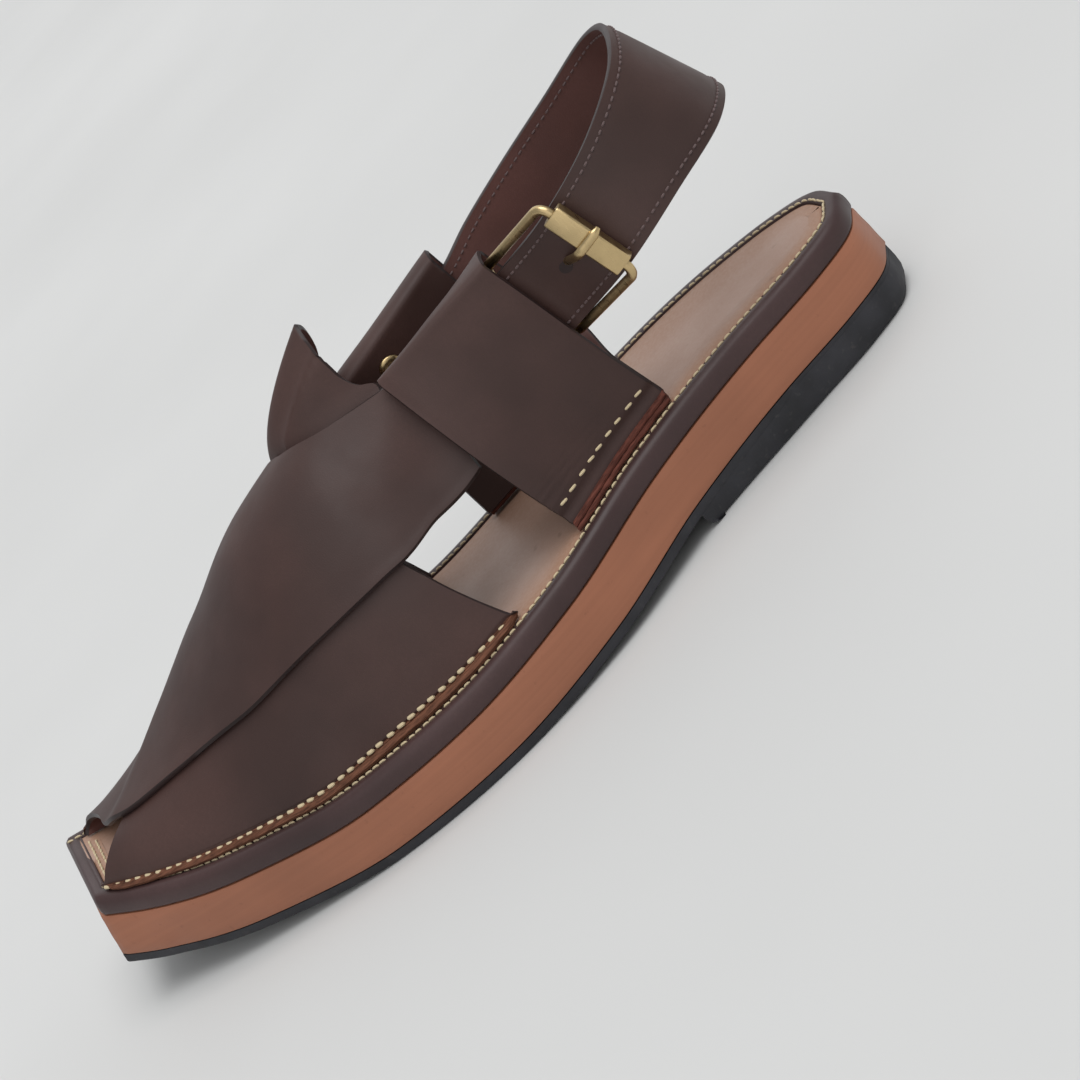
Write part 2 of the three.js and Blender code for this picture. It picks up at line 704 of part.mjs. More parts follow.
const bucklePoint = (along, across, out) => rollerMiddle.clone()
  .addScaledVector(toLoop, along).addScaledVector(buckleUp, across)
  .addScaledVector(buckleOut, out);

// Round bar along points, with a fixed direction that is never along it
function roundBar(points, radius, sides, reference, closed) {
  const count = points.length;
  const rings = points.map((point, i) => {
    const before = points[closed ? (i + count - 1) % count : Math.max(i - 1, 0)];
    const after = points[closed ? (i + 1) % count : Math.min(i + 1, count - 1)];
    const tangent = after.clone().sub(before).normalize();
    const first = reference.clone().cross(tangent).normalize();
    const second = tangent.clone().cross(first);
    return span(sides).slice(0, -1).map((share) => point.clone()
      .addScaledVector(first, radius * Math.cos(2 * Math.PI * share))
      .addScaledVector(second, radius * Math.sin(2 * Math.PI * share)));
  });
  if (closed) return facingOut(ringLoft([...rings, rings[0]]));
  const cap = [span(sides).slice(0, -1).map((_, i) => i)];
  return facingOut(ringLoft(rings, cap, cap));
}

function buckleFrameGeometry() {
  const half = buckleWidth / 2;
  const far = buckleReach - buckleCorner;
  const near = buckleCorner;
  const high = half - buckleCorner;
  const shape = new THREE.Path();
  shape.moveTo(near, -half);
  shape.lineTo(far, -half);
  shape.absarc(far, -high, buckleCorner, -Math.PI / 2, 0, false);
  shape.lineTo(buckleReach, high);
  shape.absarc(far, high, buckleCorner, 0, Math.PI / 2, false);
  shape.lineTo(near, half);
  shape.absarc(near, high, buckleCorner, Math.PI / 2, Math.PI, false);
  shape.lineTo(0, -high);
  shape.absarc(near, -high, buckleCorner, Math.PI, 1.5 * Math.PI, false);
  const points = shape.getSpacedPoints(56).slice(0, -1).map((p) => bucklePoint(p.x, p.y, 0));
  return roundBar(points, wireRadius, 8, buckleOut, true);
}

// Prism across the buckle: outline [along, out] with an optional round hole
function crossPrism(corners, holeCentre, holeSize, width, out = buckleOut) {
  const shape = new THREE.Shape(corners.map(([x, y]) => new THREE.Vector2(x, y)));
  if (holeSize) {
    shape.holes.push(new THREE.Path().absarc(holeCentre, 0, holeSize, 0, 2 * Math.PI, true));
  }
  const geometry = new THREE.ExtrudeGeometry(shape, {
    depth: width, bevelEnabled: false, curveSegments: 12,
  });
  geometry.translate(0, 0, -width / 2);
  const onward = out.clone().cross(buckleUp).normalize();
  const place = new THREE.Matrix4().makeBasis(onward, buckleUp.clone().cross(onward), buckleUp);
  geometry.applyMatrix4(place.setPosition(rollerMiddle));
  return toSolid(facingOut(mergedIndex(geometry)));
}

function rollerGeometry() {
  const w = rollerWidth / 2;
  const t = rollerThickness / 2;
  const bevel = 0.9;
  return toGeometry(crossPrism([
    [-w + bevel, -t], [w - bevel, -t], [w, -t + bevel], [w, t - bevel], [w - bevel, t],
    [-w + bevel, t], [-w, t - bevel], [-w, -t + bevel],
  ], 0, wireRadius + clearance, buckleWidth - 2 * buckleCorner - 2 * clearance,
  rollerFrame.outward));
}

function mergedIndex(geometry) {
  geometry.deleteAttribute('normal');
  geometry.deleteAttribute('uv');
  return mergeVertices(geometry, 1e-4);
}

// The prong as a round bar: its curled tip, the hole in the strap, and the eye on the base bar
function prongBar(radius) {
  const wrap = wireRadius + clearance + prongRadius;
  const hole = strapFrame(holeShare).middle.clone().sub(rollerMiddle);
  const lift = rollerThickness / 2 + 3 * clearance + prongRadius;
  const eye = span(7).map((k) => {
    const turn = Math.PI * mix(-0.55, 0.45, k);
    return bucklePoint(buckleReach + wrap * Math.cos(turn), 0, wrap * Math.sin(turn));
  });
  const curve = new THREE.CatmullRomCurve3([
    bucklePoint(-rollerWidth * 0.6, 0, lift - 0.5), bucklePoint(0, 0, lift),
    bucklePoint(rollerWidth * 0.75, 0, lift + 0.4),
    bucklePoint(hole.dot(toLoop), 0, hole.dot(buckleOut)),
    bucklePoint(buckleReach - 2 * wrap, 0, -wrap * 0.9), ...eye,
  ], false, 'centripetal');
  return roundBar(curve.getSpacedPoints(24), radius, 8, buckleUp, false);
}

// The leather that holds the buckle: folded round the base bar, its end in the loop's tunnel
function tabGeometry() {
  const fromStrap = strapThickness / 2 + clearance;
  const rings = span(6).map((k) => {
    const { middle, across, outward } = strapFrame(mix(baseShare, tabEndShare, k));
    const corner = (side, drop) => middle.clone().addScaledVector(across, side * tabWidth / 2)
      .addScaledVector(outward, -fromStrap - drop);
    return [corner(1, 0), corner(1, 2 * tabThickness), corner(-1, 2 * tabThickness), corner(-1, 0)];
  });
  const caps = [[0, 1, 2, 3]];
  const strip = toSolid(facingOut(ringLoft(rings, caps, caps)));
  const bore = wireRadius + clearance;
  const fold = crossPrism(span(14).slice(0, -1).map((k) => [
    buckleReach + (bore + tabThickness) * Math.cos(2 * Math.PI * k),
    (bore + tabThickness) * Math.sin(2 * Math.PI * k),
  ]), buckleReach, bore, tabWidth);
  const barRoom = pinAlong(bucklePoint(buckleReach, 0, 0), buckleUp, bore, 2 * tabWidth);
  const reach = bore + 2 * prongRadius + clearance;
  const notchEnd = buckleReach - 2 * reach;
  const notchHeight = reach + tabThickness;
  const notch = crossPrism([
    [notchEnd, -notchHeight], [buckleReach + reach, -notchHeight],
    [buckleReach + reach, notchHeight], [notchEnd, notchHeight],
  ], 0, 0, 2 * prongRadius + 2 * clearance);
  return toGeometry(strip.add(fold).subtract(barRoom).subtract(notch));
}

// Scene

const finish = (color, roughness, metalness = 0) =>
  new THREE.MeshStandardMaterial({ color, roughness, metalness });
const darkLeather = finish('#4a3936', 0.55);
const tanLeather = finish('#c39a7c', 0.6);
const cork = finish('#9a5f45', 0.6);
const rubber = finish('#2c2c31', 0.8);
const brass = finish('#b0925a', 0.35, 0.9);

const group = new THREE.Group();
function addPiece(name, geometry, material) {
  const mesh = new THREE.Mesh(geometry, material.clone());
  mesh.name = name;
  group.add(mesh);
}

const medialHole = pin(rivetFrame(), rivetShankRadius + clearance, 4 * medialSlot);
addPiece('outsole', outsoleGeometry(), rubber);
addPiece('midsole', midsoleGeometry(), cork);
addPiece('rand', randGeometry(), darkLeather);
addPiece('insole', insoleGeometry(), tanLeather);
addPiece('upper', upperGeometry(), darkLeather);
addPiece('loop_lateral', toGeometry(
  loopSolid(lateralLoopRows, 1, lateralFold, lateralSlot, 4 * clearance, buckleRoom)), darkLeather);
addPiece('loop_medial', toGeometry(
  loopSolid(medialLoopRows, -1, medialFold, medialSlot, medialSlot, 0).subtract(medialHole)), darkLeather);
addPiece('heel_strap', toGeometry(strapSolid()), darkLeather);
addPiece('rivet', rivetGeometry(), brass);
addPiece('buckle_frame', buckleFrameGeometry(), brass);
addPiece('buckle_roller', rollerGeometry(), brass);
addPiece('buckle_prong', prongBar(prongRadius), brass);
addPiece('buckle_tab', tabGeometry(), darkLeather);

const box = new THREE.Box3().setFromObject(group);
group.position.set(-(box.min.x + box.max.x) / 2, -(box.min.y + box.max.y) / 2, -box.min.z);

export default group;
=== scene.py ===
# Looks of the left kaptan chappal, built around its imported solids.
# Sizes are in millimetres in the modelling frame of the solids: x from the heel's back to
# the toe, +y lateral, z up. to_row() moves them into the row frame, in metres.
import math

import bpy
import numpy as np
from mathutils import Matrix, Vector


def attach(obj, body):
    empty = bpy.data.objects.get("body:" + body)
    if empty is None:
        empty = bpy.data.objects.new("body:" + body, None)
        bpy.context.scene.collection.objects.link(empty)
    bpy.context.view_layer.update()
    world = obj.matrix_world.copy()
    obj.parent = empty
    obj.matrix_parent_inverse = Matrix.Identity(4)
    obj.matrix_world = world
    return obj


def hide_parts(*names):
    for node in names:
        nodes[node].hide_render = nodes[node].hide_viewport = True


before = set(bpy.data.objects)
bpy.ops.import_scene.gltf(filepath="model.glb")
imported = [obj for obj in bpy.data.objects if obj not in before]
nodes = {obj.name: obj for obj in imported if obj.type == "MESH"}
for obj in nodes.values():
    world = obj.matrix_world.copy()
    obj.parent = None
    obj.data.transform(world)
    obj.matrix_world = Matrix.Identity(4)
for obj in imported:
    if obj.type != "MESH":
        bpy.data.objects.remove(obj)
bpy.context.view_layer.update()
rng = np.random.default_rng(7)

OFFSET = np.array([-150.667, -8.961, 0.0])

# Sizes of the solids
LENGTH = 292.0
BALL = 92.0
TOE_SLANT = 9.5
MIDSOLE = 14.3
TREAD = 3.4
HEEL_HEIGHT = 11.2
HEEL_LENGTH = 84.0
BREAST = 5.0
TOE_SPRING = 16.5
RAND = 7.0
RAND_WIDTH = 5.2
INSOLE_DIP = 1.2
INSOLE_FLAT = 0.28
CLEAR = 0.3
LEATHER = 2.2
INSTEP = 64.0
FOOT_INSET = 8.4
FLANGE = 3.4
HORN = 20.0
HORN_START = 2.0
LOOP_LEATHER = 1.8
LOOP_HEIGHT = 60.0
MEDIAL_LOOP_HEIGHT = 63.0
FOLD_REACH = 2.2
STRAP = 2.4
STRAP_TOP = 109.0
TAB = 1.2
WIRE = 1.4
BUCKLE_WIDTH = 29.4
BUCKLE_CORNER = 3.2
ROLLER_WIDTH = 6.4
ROLLER_THICK = 4.4
PRONG = 1.0
SLOT_SLACK = 1.5
BUCKLE_ROOM = 6.4
SLOT_LOW = 0.44
SLOT_OPEN = 0.35
SLOT_MOUTH = 0.62
SEAT = HEEL_HEIGHT + MIDSOLE
BALL_HEIGHT = TREAD + MIDSOLE

# Share of the length, lateral and medial half widths as shares of the ball
OUTLINE_ROWS = [
    [0.000, -0.043, 0.043], [0.017, 0.100, 0.184], [0.062, 0.180, 0.272],
    [0.145, 0.250, 0.340], [0.276, 0.363, 0.384], [0.414, 0.552, 0.318],
    [0.552, 0.630, 0.298], [0.672, 0.596, 0.390], [0.776, 0.490, 0.437],
    [0.879, 0.352, 0.400], [1.000, 0.156, 0.296],
]
# Share of the length, lift of the heel, toe spring
BED_ROWS = [
    [0.00, 1.00, 0.00], [0.14, 1.00, 0.00], [0.29, 0.70, 0.00], [0.41, 0.28, 0.00],
    [0.55, 0.00, 0.00], [0.68, 0.00, 0.00], [0.83, 0.00, 0.24], [0.93, 0.00, 0.59],
    [1.00, 0.00, 1.02], [1.04, 0.00, 1.27],
]
# Share of the length, crest height and place, lateral and medial roundness
VAMP_ROWS = [
    [0.330, 1.03, 0.60, 1.90, 0.72], [0.410, 1.01, 0.60, 1.90, 0.72],
    [0.520, 0.96, 0.62, 1.30, 0.70], [0.600, 0.87, 0.64, 1.20, 0.68],
    [0.720, 0.61, 0.68, 1.15, 0.70], [0.800, 0.41, 0.64, 1.05, 0.80],
    [0.870, 0.27, 0.57, 0.85, 0.85], [0.930, 0.16, 0.50, 0.62, 0.80],
    [0.985, 0.07, 0.48, 0.58, 0.80],
]
# Share along the panel, front edge place and side, rear edge place and side
MEDIAL_PANEL = [
    [0.00, 0.976, -1.00, 0.542, -1.00], [0.12, 0.955, -0.45, 0.560, -0.86],
    [0.25, 0.912, 0.16, 0.572, -0.64], [0.33, 0.880, 0.335, 0.574, -0.50],
    [0.38, 0.850, 0.39, 0.570, -0.40], [0.58, 0.700, 0.54, 0.545, -0.10],
    [0.66, 0.633, 0.575, 0.511, 0.06], [0.74, 0.566, 0.592, 0.481, 0.15],
    [0.81, 0.506, 0.598, 0.450, 0.197], [0.90, 0.451, 0.562, 0.417, 0.235],
    [1.00, 0.397, 0.556, 0.390, 0.260],
]
LATERAL_PANEL = [
    [0.00, 0.955, -1.00, 0.458, -1.00], [0.06, 0.946, -0.89, 0.469, -0.87],
    [0.18, 0.930, -0.62, 0.492, -0.68], [0.30, 0.908, -0.38, 0.503, -0.56],
    [0.40, 0.868, -0.18, 0.480, -0.42], [0.60, 0.700, 0.33, 0.416, -0.204],
    [0.66, 0.655, 0.41, 0.430, -0.145], [0.70, 0.625, 0.46, 0.436, -0.085],
    [0.78, 0.590, 0.52, 0.436, 0.05], [0.84, 0.583, 0.58, 0.434, 0.18],
    [0.90, 0.578, 0.65, 0.440, 0.30], [1.00, 0.570, 0.74, 0.460, 0.45],
]
# Side, share of the horn's height
HORN_ROWS = [
    [-0.75, 0.45], [-0.30, 0.78], [-0.14, 0.93], [-0.05, 0.72], [0.04, 0.40], [0.09, 0.24],
    [0.14, 0.08], [0.21, 0.00],
]
# Share of the height, front and rear place, inward lean
LATERAL_LOOP = [
    [0.00, 0.368, 0.234, 0.00], [0.25, 0.377, 0.243, 0.06], [0.50, 0.387, 0.251, 0.24],
    [0.75, 0.397, 0.2585, 0.55], [1.00, 0.408, 0.267, 1.00],
]
MEDIAL_LOOP = [
    [0.00, 0.452, 0.300, 0.00], [0.25, 0.452, 0.304, -0.10], [0.50, 0.451, 0.308, 0.00],
    [0.75, 0.450, 0.311, 0.35], [1.00, 0.448, 0.313, 1.00],
]
LATERAL_FOLD = [0.20, 0.20]
MEDIAL_FOLD = [-0.14, -0.26]
# Upper edge x, y, z, then lower edge x, y, z, as shares of length, ball and strap top
STRAP_ROWS = [
    [0.190, 0.283, 0.858, 0.166, 0.348, 0.642], [0.124, 0.294, 0.917, 0.093, 0.337, 0.688],
    [0.069, 0.190, 0.975, 0.034, 0.205, 0.697], [0.051, -0.043, 1.000, 0.012, -0.043, 0.688],
    [0.072, -0.245, 0.975, 0.036, -0.265, 0.670], [0.137, -0.326, 0.917, 0.113, -0.345, 0.628],
    [0.209, -0.330, 0.872, 0.195, -0.350, 0.606], [0.270, -0.300, 0.835, 0.264, -0.318, 0.590],
]


# Curves and shape helpers

def column(rows, index):
    """Smooth curve through one column of a table, level past its ends."""
    xs = np.array([row[0] for row in rows], float)
    ys = np.array([row[index] for row in rows], float)
    steps = np.diff(ys) / np.diff(xs)
    slopes = np.zeros(len(xs))
    slopes[0] = steps[0]
    slopes[-1] = steps[-1]
    product = steps[:-1] * steps[1:]
    total = np.where(product > 0, steps[:-1] + steps[1:], 1.0)
    slopes[1:-1] = np.where(product > 0, 2 * product / total, 0.0)

    def at(x):
        x = np.clip(x, xs[0], xs[-1])
        i = np.clip(np.searchsorted(xs, x, side="right") - 1, 0, len(xs) - 2)
        width = xs[i + 1] - xs[i]
        s = (x - xs[i]) / width
        rise = s * s * (3 - 2 * s)
        bend = s * (1 - s) * ((1 - s) * slopes[i] - s * slopes[i + 1]) * width
        return ys[i] + (ys[i + 1] - ys[i]) * rise + bend

    return at


def mix(a, b, t):
    return a + (b - a) * t


def smooth(x, low, high):
    """Soft step from 0 at low to 1 at high."""
    t = np.clip((np.asarray(x, float) - low) / (high - low), 0, 1)
    return t * t * (3 - 2 * t)


def unit(v):
    v = np.asarray(v, float)
    return v / np.maximum(np.linalg.norm(v, axis=-1, keepdims=True), 1e-12)


def full_turn(count):
    """Angles at even steps round a circle."""
    return np.linspace(0, 2 * math.pi, count, endpoint=False)


def catmull(points, shares):
    """Centripetal Catmull-Rom curve through the points, at shares of its control points."""
    p = np.asarray(points, float)
    ext = np.vstack([2 * p[0] - p[1], p, 2 * p[-1] - p[-2]])
    shares = np.asarray(shares, float) * (len(p) - 1)
    i = np.clip(np.floor(shares).astype(int), 0, len(p) - 2)
    w = (shares - i)[:, None]
    p0, p1, p2, p3 = ext[i], ext[i + 1], ext[i + 2], ext[i + 3]
    d1 = np.linalg.norm(p2 - p1, axis=1)[:, None] ** 0.5
    d0 = np.linalg.norm(p1 - p0, axis=1)[:, None] ** 0.5
    d2 = np.linalg.norm(p3 - p2, axis=1)[:, None] ** 0.5
    m1 = ((p1 - p0) / d0 - (p2 - p0) / (d0 + d1) + (p2 - p1) / d1) * d1
    m2 = ((p2 - p1) / d1 - (p3 - p1) / (d1 + d2) + (p3 - p2) / d2) * d1
    a = 2 * p1 - 2 * p2 + m1 + m2
    b = -3 * p1 + 3 * p2 - 2 * m1 - m2
    return ((a * w + b) * w + m1) * w + p1


def spaced(points, count, closed=False):
    """Points at even steps along a polyline."""
    p = np.asarray(points, float)
    if closed:
        p = np.vstack([p, p[:1]])
    run = np.concatenate([[0], np.cumsum(np.linalg.norm(np.diff(p, axis=0), axis=1))])
    at = np.linspace(0, run[-1], count + 1)
    if closed:
        at = at[:-1]
    return np.stack([np.interp(at, run, p[:, k]) for k in range(p.shape[1])], 1)


def length_of(points):
    return float(np.linalg.norm(np.diff(np.asarray(points, float), axis=0), axis=1).sum())


# Mesh helpers

def to_row(points):
    return (np.asarray(points, float) + OFFSET) * 0.001


def new_mesh(name, points, faces, materials, indices=None, sharp=40):
    mesh = bpy.data.meshes.new(name)
    mesh.from_pydata(to_row(points).tolist(), [], [list(map(int, f)) for f in faces])
    mesh.validate()
    for material in materials:
        mesh.materials.append(material)
    if indices is not None and len(indices) == len(mesh.polygons):
        mesh.polygons.foreach_set("material_index", np.asarray(indices, np.int32))
    mesh.polygons.foreach_set("use_smooth", [True] * len(mesh.polygons))
    mesh.update()
    mesh.set_sharp_from_angle(angle=math.radians(sharp))
    piece = bpy.data.objects.new(name, mesh)
    bpy.context.scene.collection.objects.link(piece)
    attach(piece, "root")
    return piece


def ring_faces(rows, count):
    """Quads between closed rings that follow each other."""
    faces = []
    for r in range(rows - 1):
        for i in range(count):
            j = (i + 1) % count
            faces.append([r * count + i, r * count + j, (r + 1) * count + j, (r + 1) * count + i])
    return faces


def facing_out(points, faces):
    """The faces, turned so that they point outward."""
    p = np.asarray(points, float)
    volume = 0.0
    for f in faces:
        for k in range(1, len(f) - 1):
            volume += np.dot(p[f[0]], np.cross(p[f[k]], p[f[k + 1]]))
    return faces if volume > 0 else [list(reversed(f)) for f in faces]


def loft(name, rings, materials, caps=True, closed=False, indices=None, sharp=40):
    """Closed skin through rings of points, all with the same count."""
    rings = [np.asarray(r, float) for r in rings]
    count = len(rings[0])
    points = np.vstack(rings)
    faces = ring_faces(len(rings), count)
    last = (len(rings) - 1) * count
    if closed:
        for i in range(count):
            j = (i + 1) % count
            faces.append([last + i, last + j, j, i])
    elif caps:
        faces.append(list(reversed(range(count))))
        faces.append(list(range(last, last + count)))
    return new_mesh(name, points, facing_out(points, faces), materials, indices, sharp)


def wall(name, outer, inner, materials, edge_round):
    """Sheet between two grids, its edges slightly rounded. Materials: outer, inner, edge."""
    rows, cols = outer.shape[:2]
    middle = (outer + inner) / 2
    thick = np.linalg.norm(outer - inner, axis=2, keepdims=True)
    points = [outer.reshape(-1, 3), inner.reshape(-1, 3)]
    base = rows * cols
    faces = []

    def idx(r, c, layer):
        return layer * base + r * cols + c

    for r in range(rows - 1):
        for c in range(cols - 1):
            faces.append([idx(r, c, 0), idx(r, c + 1, 0), idx(r + 1, c + 1, 0), idx(r + 1, c, 0)])
            faces.append([idx(r + 1, c, 1), idx(r + 1, c + 1, 1), idx(r, c + 1, 1), idx(r, c, 1)])
    border = [(0, c) for c in range(cols)] + [(r, cols - 1) for r in range(1, rows)]
    border += [(rows - 1, c) for c in range(cols - 2, -1, -1)]
    border += [(r, 0) for r in range(rows - 2, 0, -1)]
    rim = []
    for r, c in border:
        r2 = min(max(r, 1), rows - 2)
        c2 = min(max(c, 1), cols - 2)
        away = unit(middle[r, c] - middle[r2, c2])
        rim.append(middle[r, c] + away * thick[r, c] * edge_round)
    points.append(np.array(rim))
    start = 2 * base
    for k in range(len(border)):
        n = (k + 1) % len(border)
        r, c = border[k]
        s, d = border[n]
        faces.append([idx(s, d, 0), idx(r, c, 0), start + k, start + n])
        faces.append([start + n, start + k, idx(r, c, 1), idx(s, d, 1)])
    indices = [0, 1] * ((rows - 1) * (cols - 1)) + [2, 2] * len(border)
    points = np.vstack(points)
    return new_mesh(name, points, facing_out(points, faces), materials, indices, 50)


def stitch_row(name, path, normals, material, pitch, long, thick, skew=0.0):
    """A row of separate thread lengths along a path, each sunk at its ends."""
    p = np.asarray(path, float)
    run = np.concatenate([[0], np.cumsum(np.linalg.norm(np.diff(p, axis=0), axis=1))])
    points = []
    faces = []
    rings = 9
    sides = 8

    def at(values, s):
        return np.array([np.interp(s, run, values[:, a]) for a in range(3)])

    for k in range(int(run[-1] / pitch)):
        s = (k + 0.5) * pitch + rng.uniform(-0.1, 0.1) * pitch
        centre = at(p, s)
        along = unit(at(p, s + 0.4) - at(p, s - 0.4))
        up = unit(at(normals, s))
        up = unit(up - along * np.dot(up, along))
        side = np.cross(along, up)
        lean = skew + rng.uniform(-0.05, 0.05)
        along = along * math.cos(lean) + side * math.sin(lean)
        side = np.cross(along, up)
        half = long / 2 * rng.uniform(0.92, 1.06)
        base = len(points)
        for i in range(rings):
            t = -1 + 2 * i / (rings - 1)
            r = thick / 2 * max(math.sqrt(max(1 - t ** 4, 0)), 0.3)
            drop = thick * (0.14 - 0.45 * t ** 4)
            for j in range(sides):
                a = 2 * math.pi * j / sides
                points.append(centre + along * half * t + up * (drop + r * math.sin(a))
                              + side * r * math.cos(a))
        for f in ring_faces(rings, sides):
            faces.append([base + i for i in f])
        faces.append([base + i for i in reversed(range(sides))])
        faces.append([base + (rings - 1) * sides + i for i in range(sides)])
    first = faces[:(rings - 1) * sides + 2]
    if facing_out(points[:rings * sides], first) is not first:
        faces = [list(reversed(f)) for f in faces]
    new_mesh(name, np.array(points), faces, [material], None, 60)


# Materials

class Graph:
    """Adds and links shader nodes."""

    def __init__(self, name):
        self.material = bpy.data.materials.new(name)
        self.material.use_nodes = True
        self.tree = self.material.node_tree
        self.shader = self.tree.nodes["Principled BSDF"]
        coords = self.tree.nodes.new("ShaderNodeTexCoord")
        self.coords = coords.outputs["Object"]

    def node(self, kind, **values):
        made = self.tree.nodes.new(kind)
        for key, value in values.items():
            if key in made.inputs:
                made.inputs[key].default_value = value
            else:
                setattr(made, key, value)
        return made

    def link(self, a, b):
        self.tree.links.new(a, b)

    def noise(self, scale, detail=4.0, rough=0.5, source=None):
        made = self.node("ShaderNodeTexNoise", Scale=scale, Detail=detail, Roughness=rough)
        self.link(source or self.coords, made.inputs["Vector"])
        return made.outputs["Fac"]

    def cells(self, scale):
        made = self.node("ShaderNodeTexVoronoi", Scale=scale, feature="DISTANCE_TO_EDGE")
        self.link(self.coords, made.inputs["Vector"])
        return made.outputs["Distance"]

    def stretched(self, scale):
        made = self.node("ShaderNodeMapping", Scale=scale)
        self.link(self.coords, made.inputs["Vector"])
        return made.outputs["Vector"]

    def band(self, source, low, high, a=0.0, b=1.0):
        made = self.node("ShaderNodeMapRange", **{"From Min": low, "From Max": high,
                                                  "To Min": a, "To Max": b})
        self.link(source, made.inputs["Value"])
        return made.outputs["Result"]

    def blend(self, factor, a, b):
        made = self.node("ShaderNodeMix", data_type="RGBA")
        self.link(factor, made.inputs[0])
        for socket, value in ((made.inputs[6], a), (made.inputs[7], b)):
            if isinstance(value, (tuple, list)):
                socket.default_value = (*value, 1.0)
            else:
                self.link(value, socket)
        return made.outputs[2]

    def bump(self, height, strength, distance, before=None):
        made = self.node("ShaderNodeBump", Strength=strength, Distance=distance)
        self.link(height, made.inputs["Height"])
        if before is not None:
            self.link(before, made.inputs["Normal"])
        return made.outputs["Normal"]

    def attribute(self, name):
        return self.node("ShaderNodeAttribute", attribute_name=name).outputs["Fac"]

    def done(self, color=None, rough=None, normal=None, **sockets):
        for value, key in ((color, "Base Color"), (rough, "Roughness"), (normal, "Normal")):
            if value is not None:
                self.link(value, self.shader.inputs[key])
        for key, value in sockets.items():
            self.shader.inputs[key.replace("_", " ")].default_value = value
        return self.material


def times(color, share):
    return tuple(c * share for c in color)


PATCH_LIGHT = 1.28
PATCH_DARK = 0.72
PORE_SCALE = 1500


def leather(name, color, rough, grain=0.22):
    """Cloudy leather with pores, a fine grain and a slow swell."""
    g = Graph(name)
    patches = g.band(g.noise(22, 3), 0.35, 0.68)
    lighter = times(color, PATCH_LIGHT)
    darker = times(color, PATCH_DARK)
    base = g.blend(patches, darker, lighter)
    pores = g.band(g.cells(PORE_SCALE), 0.0, 0.35)
    tone = g.blend(g.band(g.noise(900, 2), 0.3, 0.75, 0, 0.25), base, darker)
    skin = g.blend(g.band(pores, 0, 1, 0.12, 0.0), tone, times(color, 0.45))
    roughness = g.band(g.noise(60, 4), 0.3, 0.7, rough - 0.05, rough + 0.09)
    normal = g.bump(g.cells(PORE_SCALE), grain, 0.00012)
    normal = g.bump(g.noise(340, 5), grain * 0.6, 0.00022, normal)
    normal = g.bump(g.noise(45, 2), 0.12, 0.0012, normal)
    return g.done(skin, roughness, normal, Specular_IOR_Level=0.34)


def raw_edge(name, color):
    g = Graph(name)
    fibre = g.noise(1.0, 4, 0.6, g.stretched((260, 260, 2600)))
    speck = g.band(fibre, 0.32, 0.68)
    base = g.blend(speck, times(color, 0.45), times(color, 1.35))
    normal = g.bump(fibre, 0.5, 0.0003)
    return g.done(base, None, normal, Roughness=0.82, Specular_IOR_Level=0.2)


def midsole_material():
    g = Graph("midsole_brown")
    base = (0.335, 0.130, 0.070)
    patches = g.band(g.noise(18, 4), 0.3, 0.7)
    tone = g.blend(patches, times(base, 0.84), times(base, 1.12))
    lines = g.band(g.noise(1.0, 3, 0.5, g.stretched((14, 14, 700))), 0.35, 0.65)
    layered = g.blend(g.band(lines, 0, 1, 0.0, 0.16), tone, times(base, 0.6))
    specks = g.band(g.noise(420, 2), 0.68, 0.78)
    worn = g.blend(g.band(specks, 0, 1, 0, 0.3), layered, times(base, 0.4))
    normal = g.bump(lines, 0.12, 0.0002)
    normal = g.bump(g.noise(600, 3), 0.1, 0.00015, normal)
    rough = g.band(g.noise(80, 3), 0.3, 0.7, 0.4, 0.52)
    return g.done(worn, rough, normal, Specular_IOR_Level=0.4)


def rubber_material():
    g = Graph("rubber_black")
    tone = g.blend(g.band(g.noise(90, 5), 0.3, 0.7), (0.018, 0.018, 0.021), (0.034, 0.034, 0.04))
    dust = g.blend(g.band(g.noise(500, 2), 0.62, 0.8, 0, 0.35), tone, (0.09, 0.085, 0.08))
    normal = g.bump(g.noise(1100, 3), 0.25, 0.0002)
    rough = g.band(g.noise(130, 3), 0.3, 0.7, 0.55, 0.72)
    return g.done(dust, rough, normal, Specular_IOR_Level=0.4)


def tread_material():
    g = Graph("rubber_tread")
    wave = g.node("ShaderNodeTexWave", Scale=170.0, Distortion=0.0, bands_direction="X")
    g.link(g.coords, wave.inputs["Vector"])
    normal = g.bump(wave.outputs["Fac"], 0.5, 0.0006)
    tone = g.blend(g.band(g.noise(60, 5), 0.3, 0.7), (0.022, 0.022, 0.025), (0.05, 0.048, 0.047))
    return g.done(tone, None, normal, Roughness=0.75)


def insole_material():
    g = Graph("leather_tan")
    edge = g.attribute("edge")
    # Two-tone that is mostly painted light with a little of the leather's own tone: the darker,
    # orange rim colour is painted shade along the rand, and the paler, greyer middle colour is a
    # painted sky reflection. The edge attribute blends them from rim to middle.
    middle = (0.42, 0.265, 0.200)
    rim = (0.34, 0.175, 0.100)
    tone = g.blend(g.band(edge, 0.0, 1.0), rim, middle)
    mottled = g.blend(g.band(g.noise(35, 5), 0.3, 0.75, 0, 0.45), tone, (0.34, 0.2, 0.14))
    fine = g.blend(g.band(g.noise(1000, 3), 0.35, 0.75, 0, 0.28), mottled, (0.50, 0.37, 0.30))
    spots = g.blend(g.band(g.noise(160, 2), 0.7, 0.78, 0, 0.35), fine, (0.14, 0.07, 0.045))
    normal = g.bump(g.cells(1300), 0.25, 0.00015)
    normal = g.bump(g.noise(60, 3), 0.15, 0.0008, normal)
    rough = g.band(g.noise(70, 3), 0.3, 0.7, 0.42, 0.56)
    return g.done(spots, rough, normal, Specular_IOR_Level=0.45)


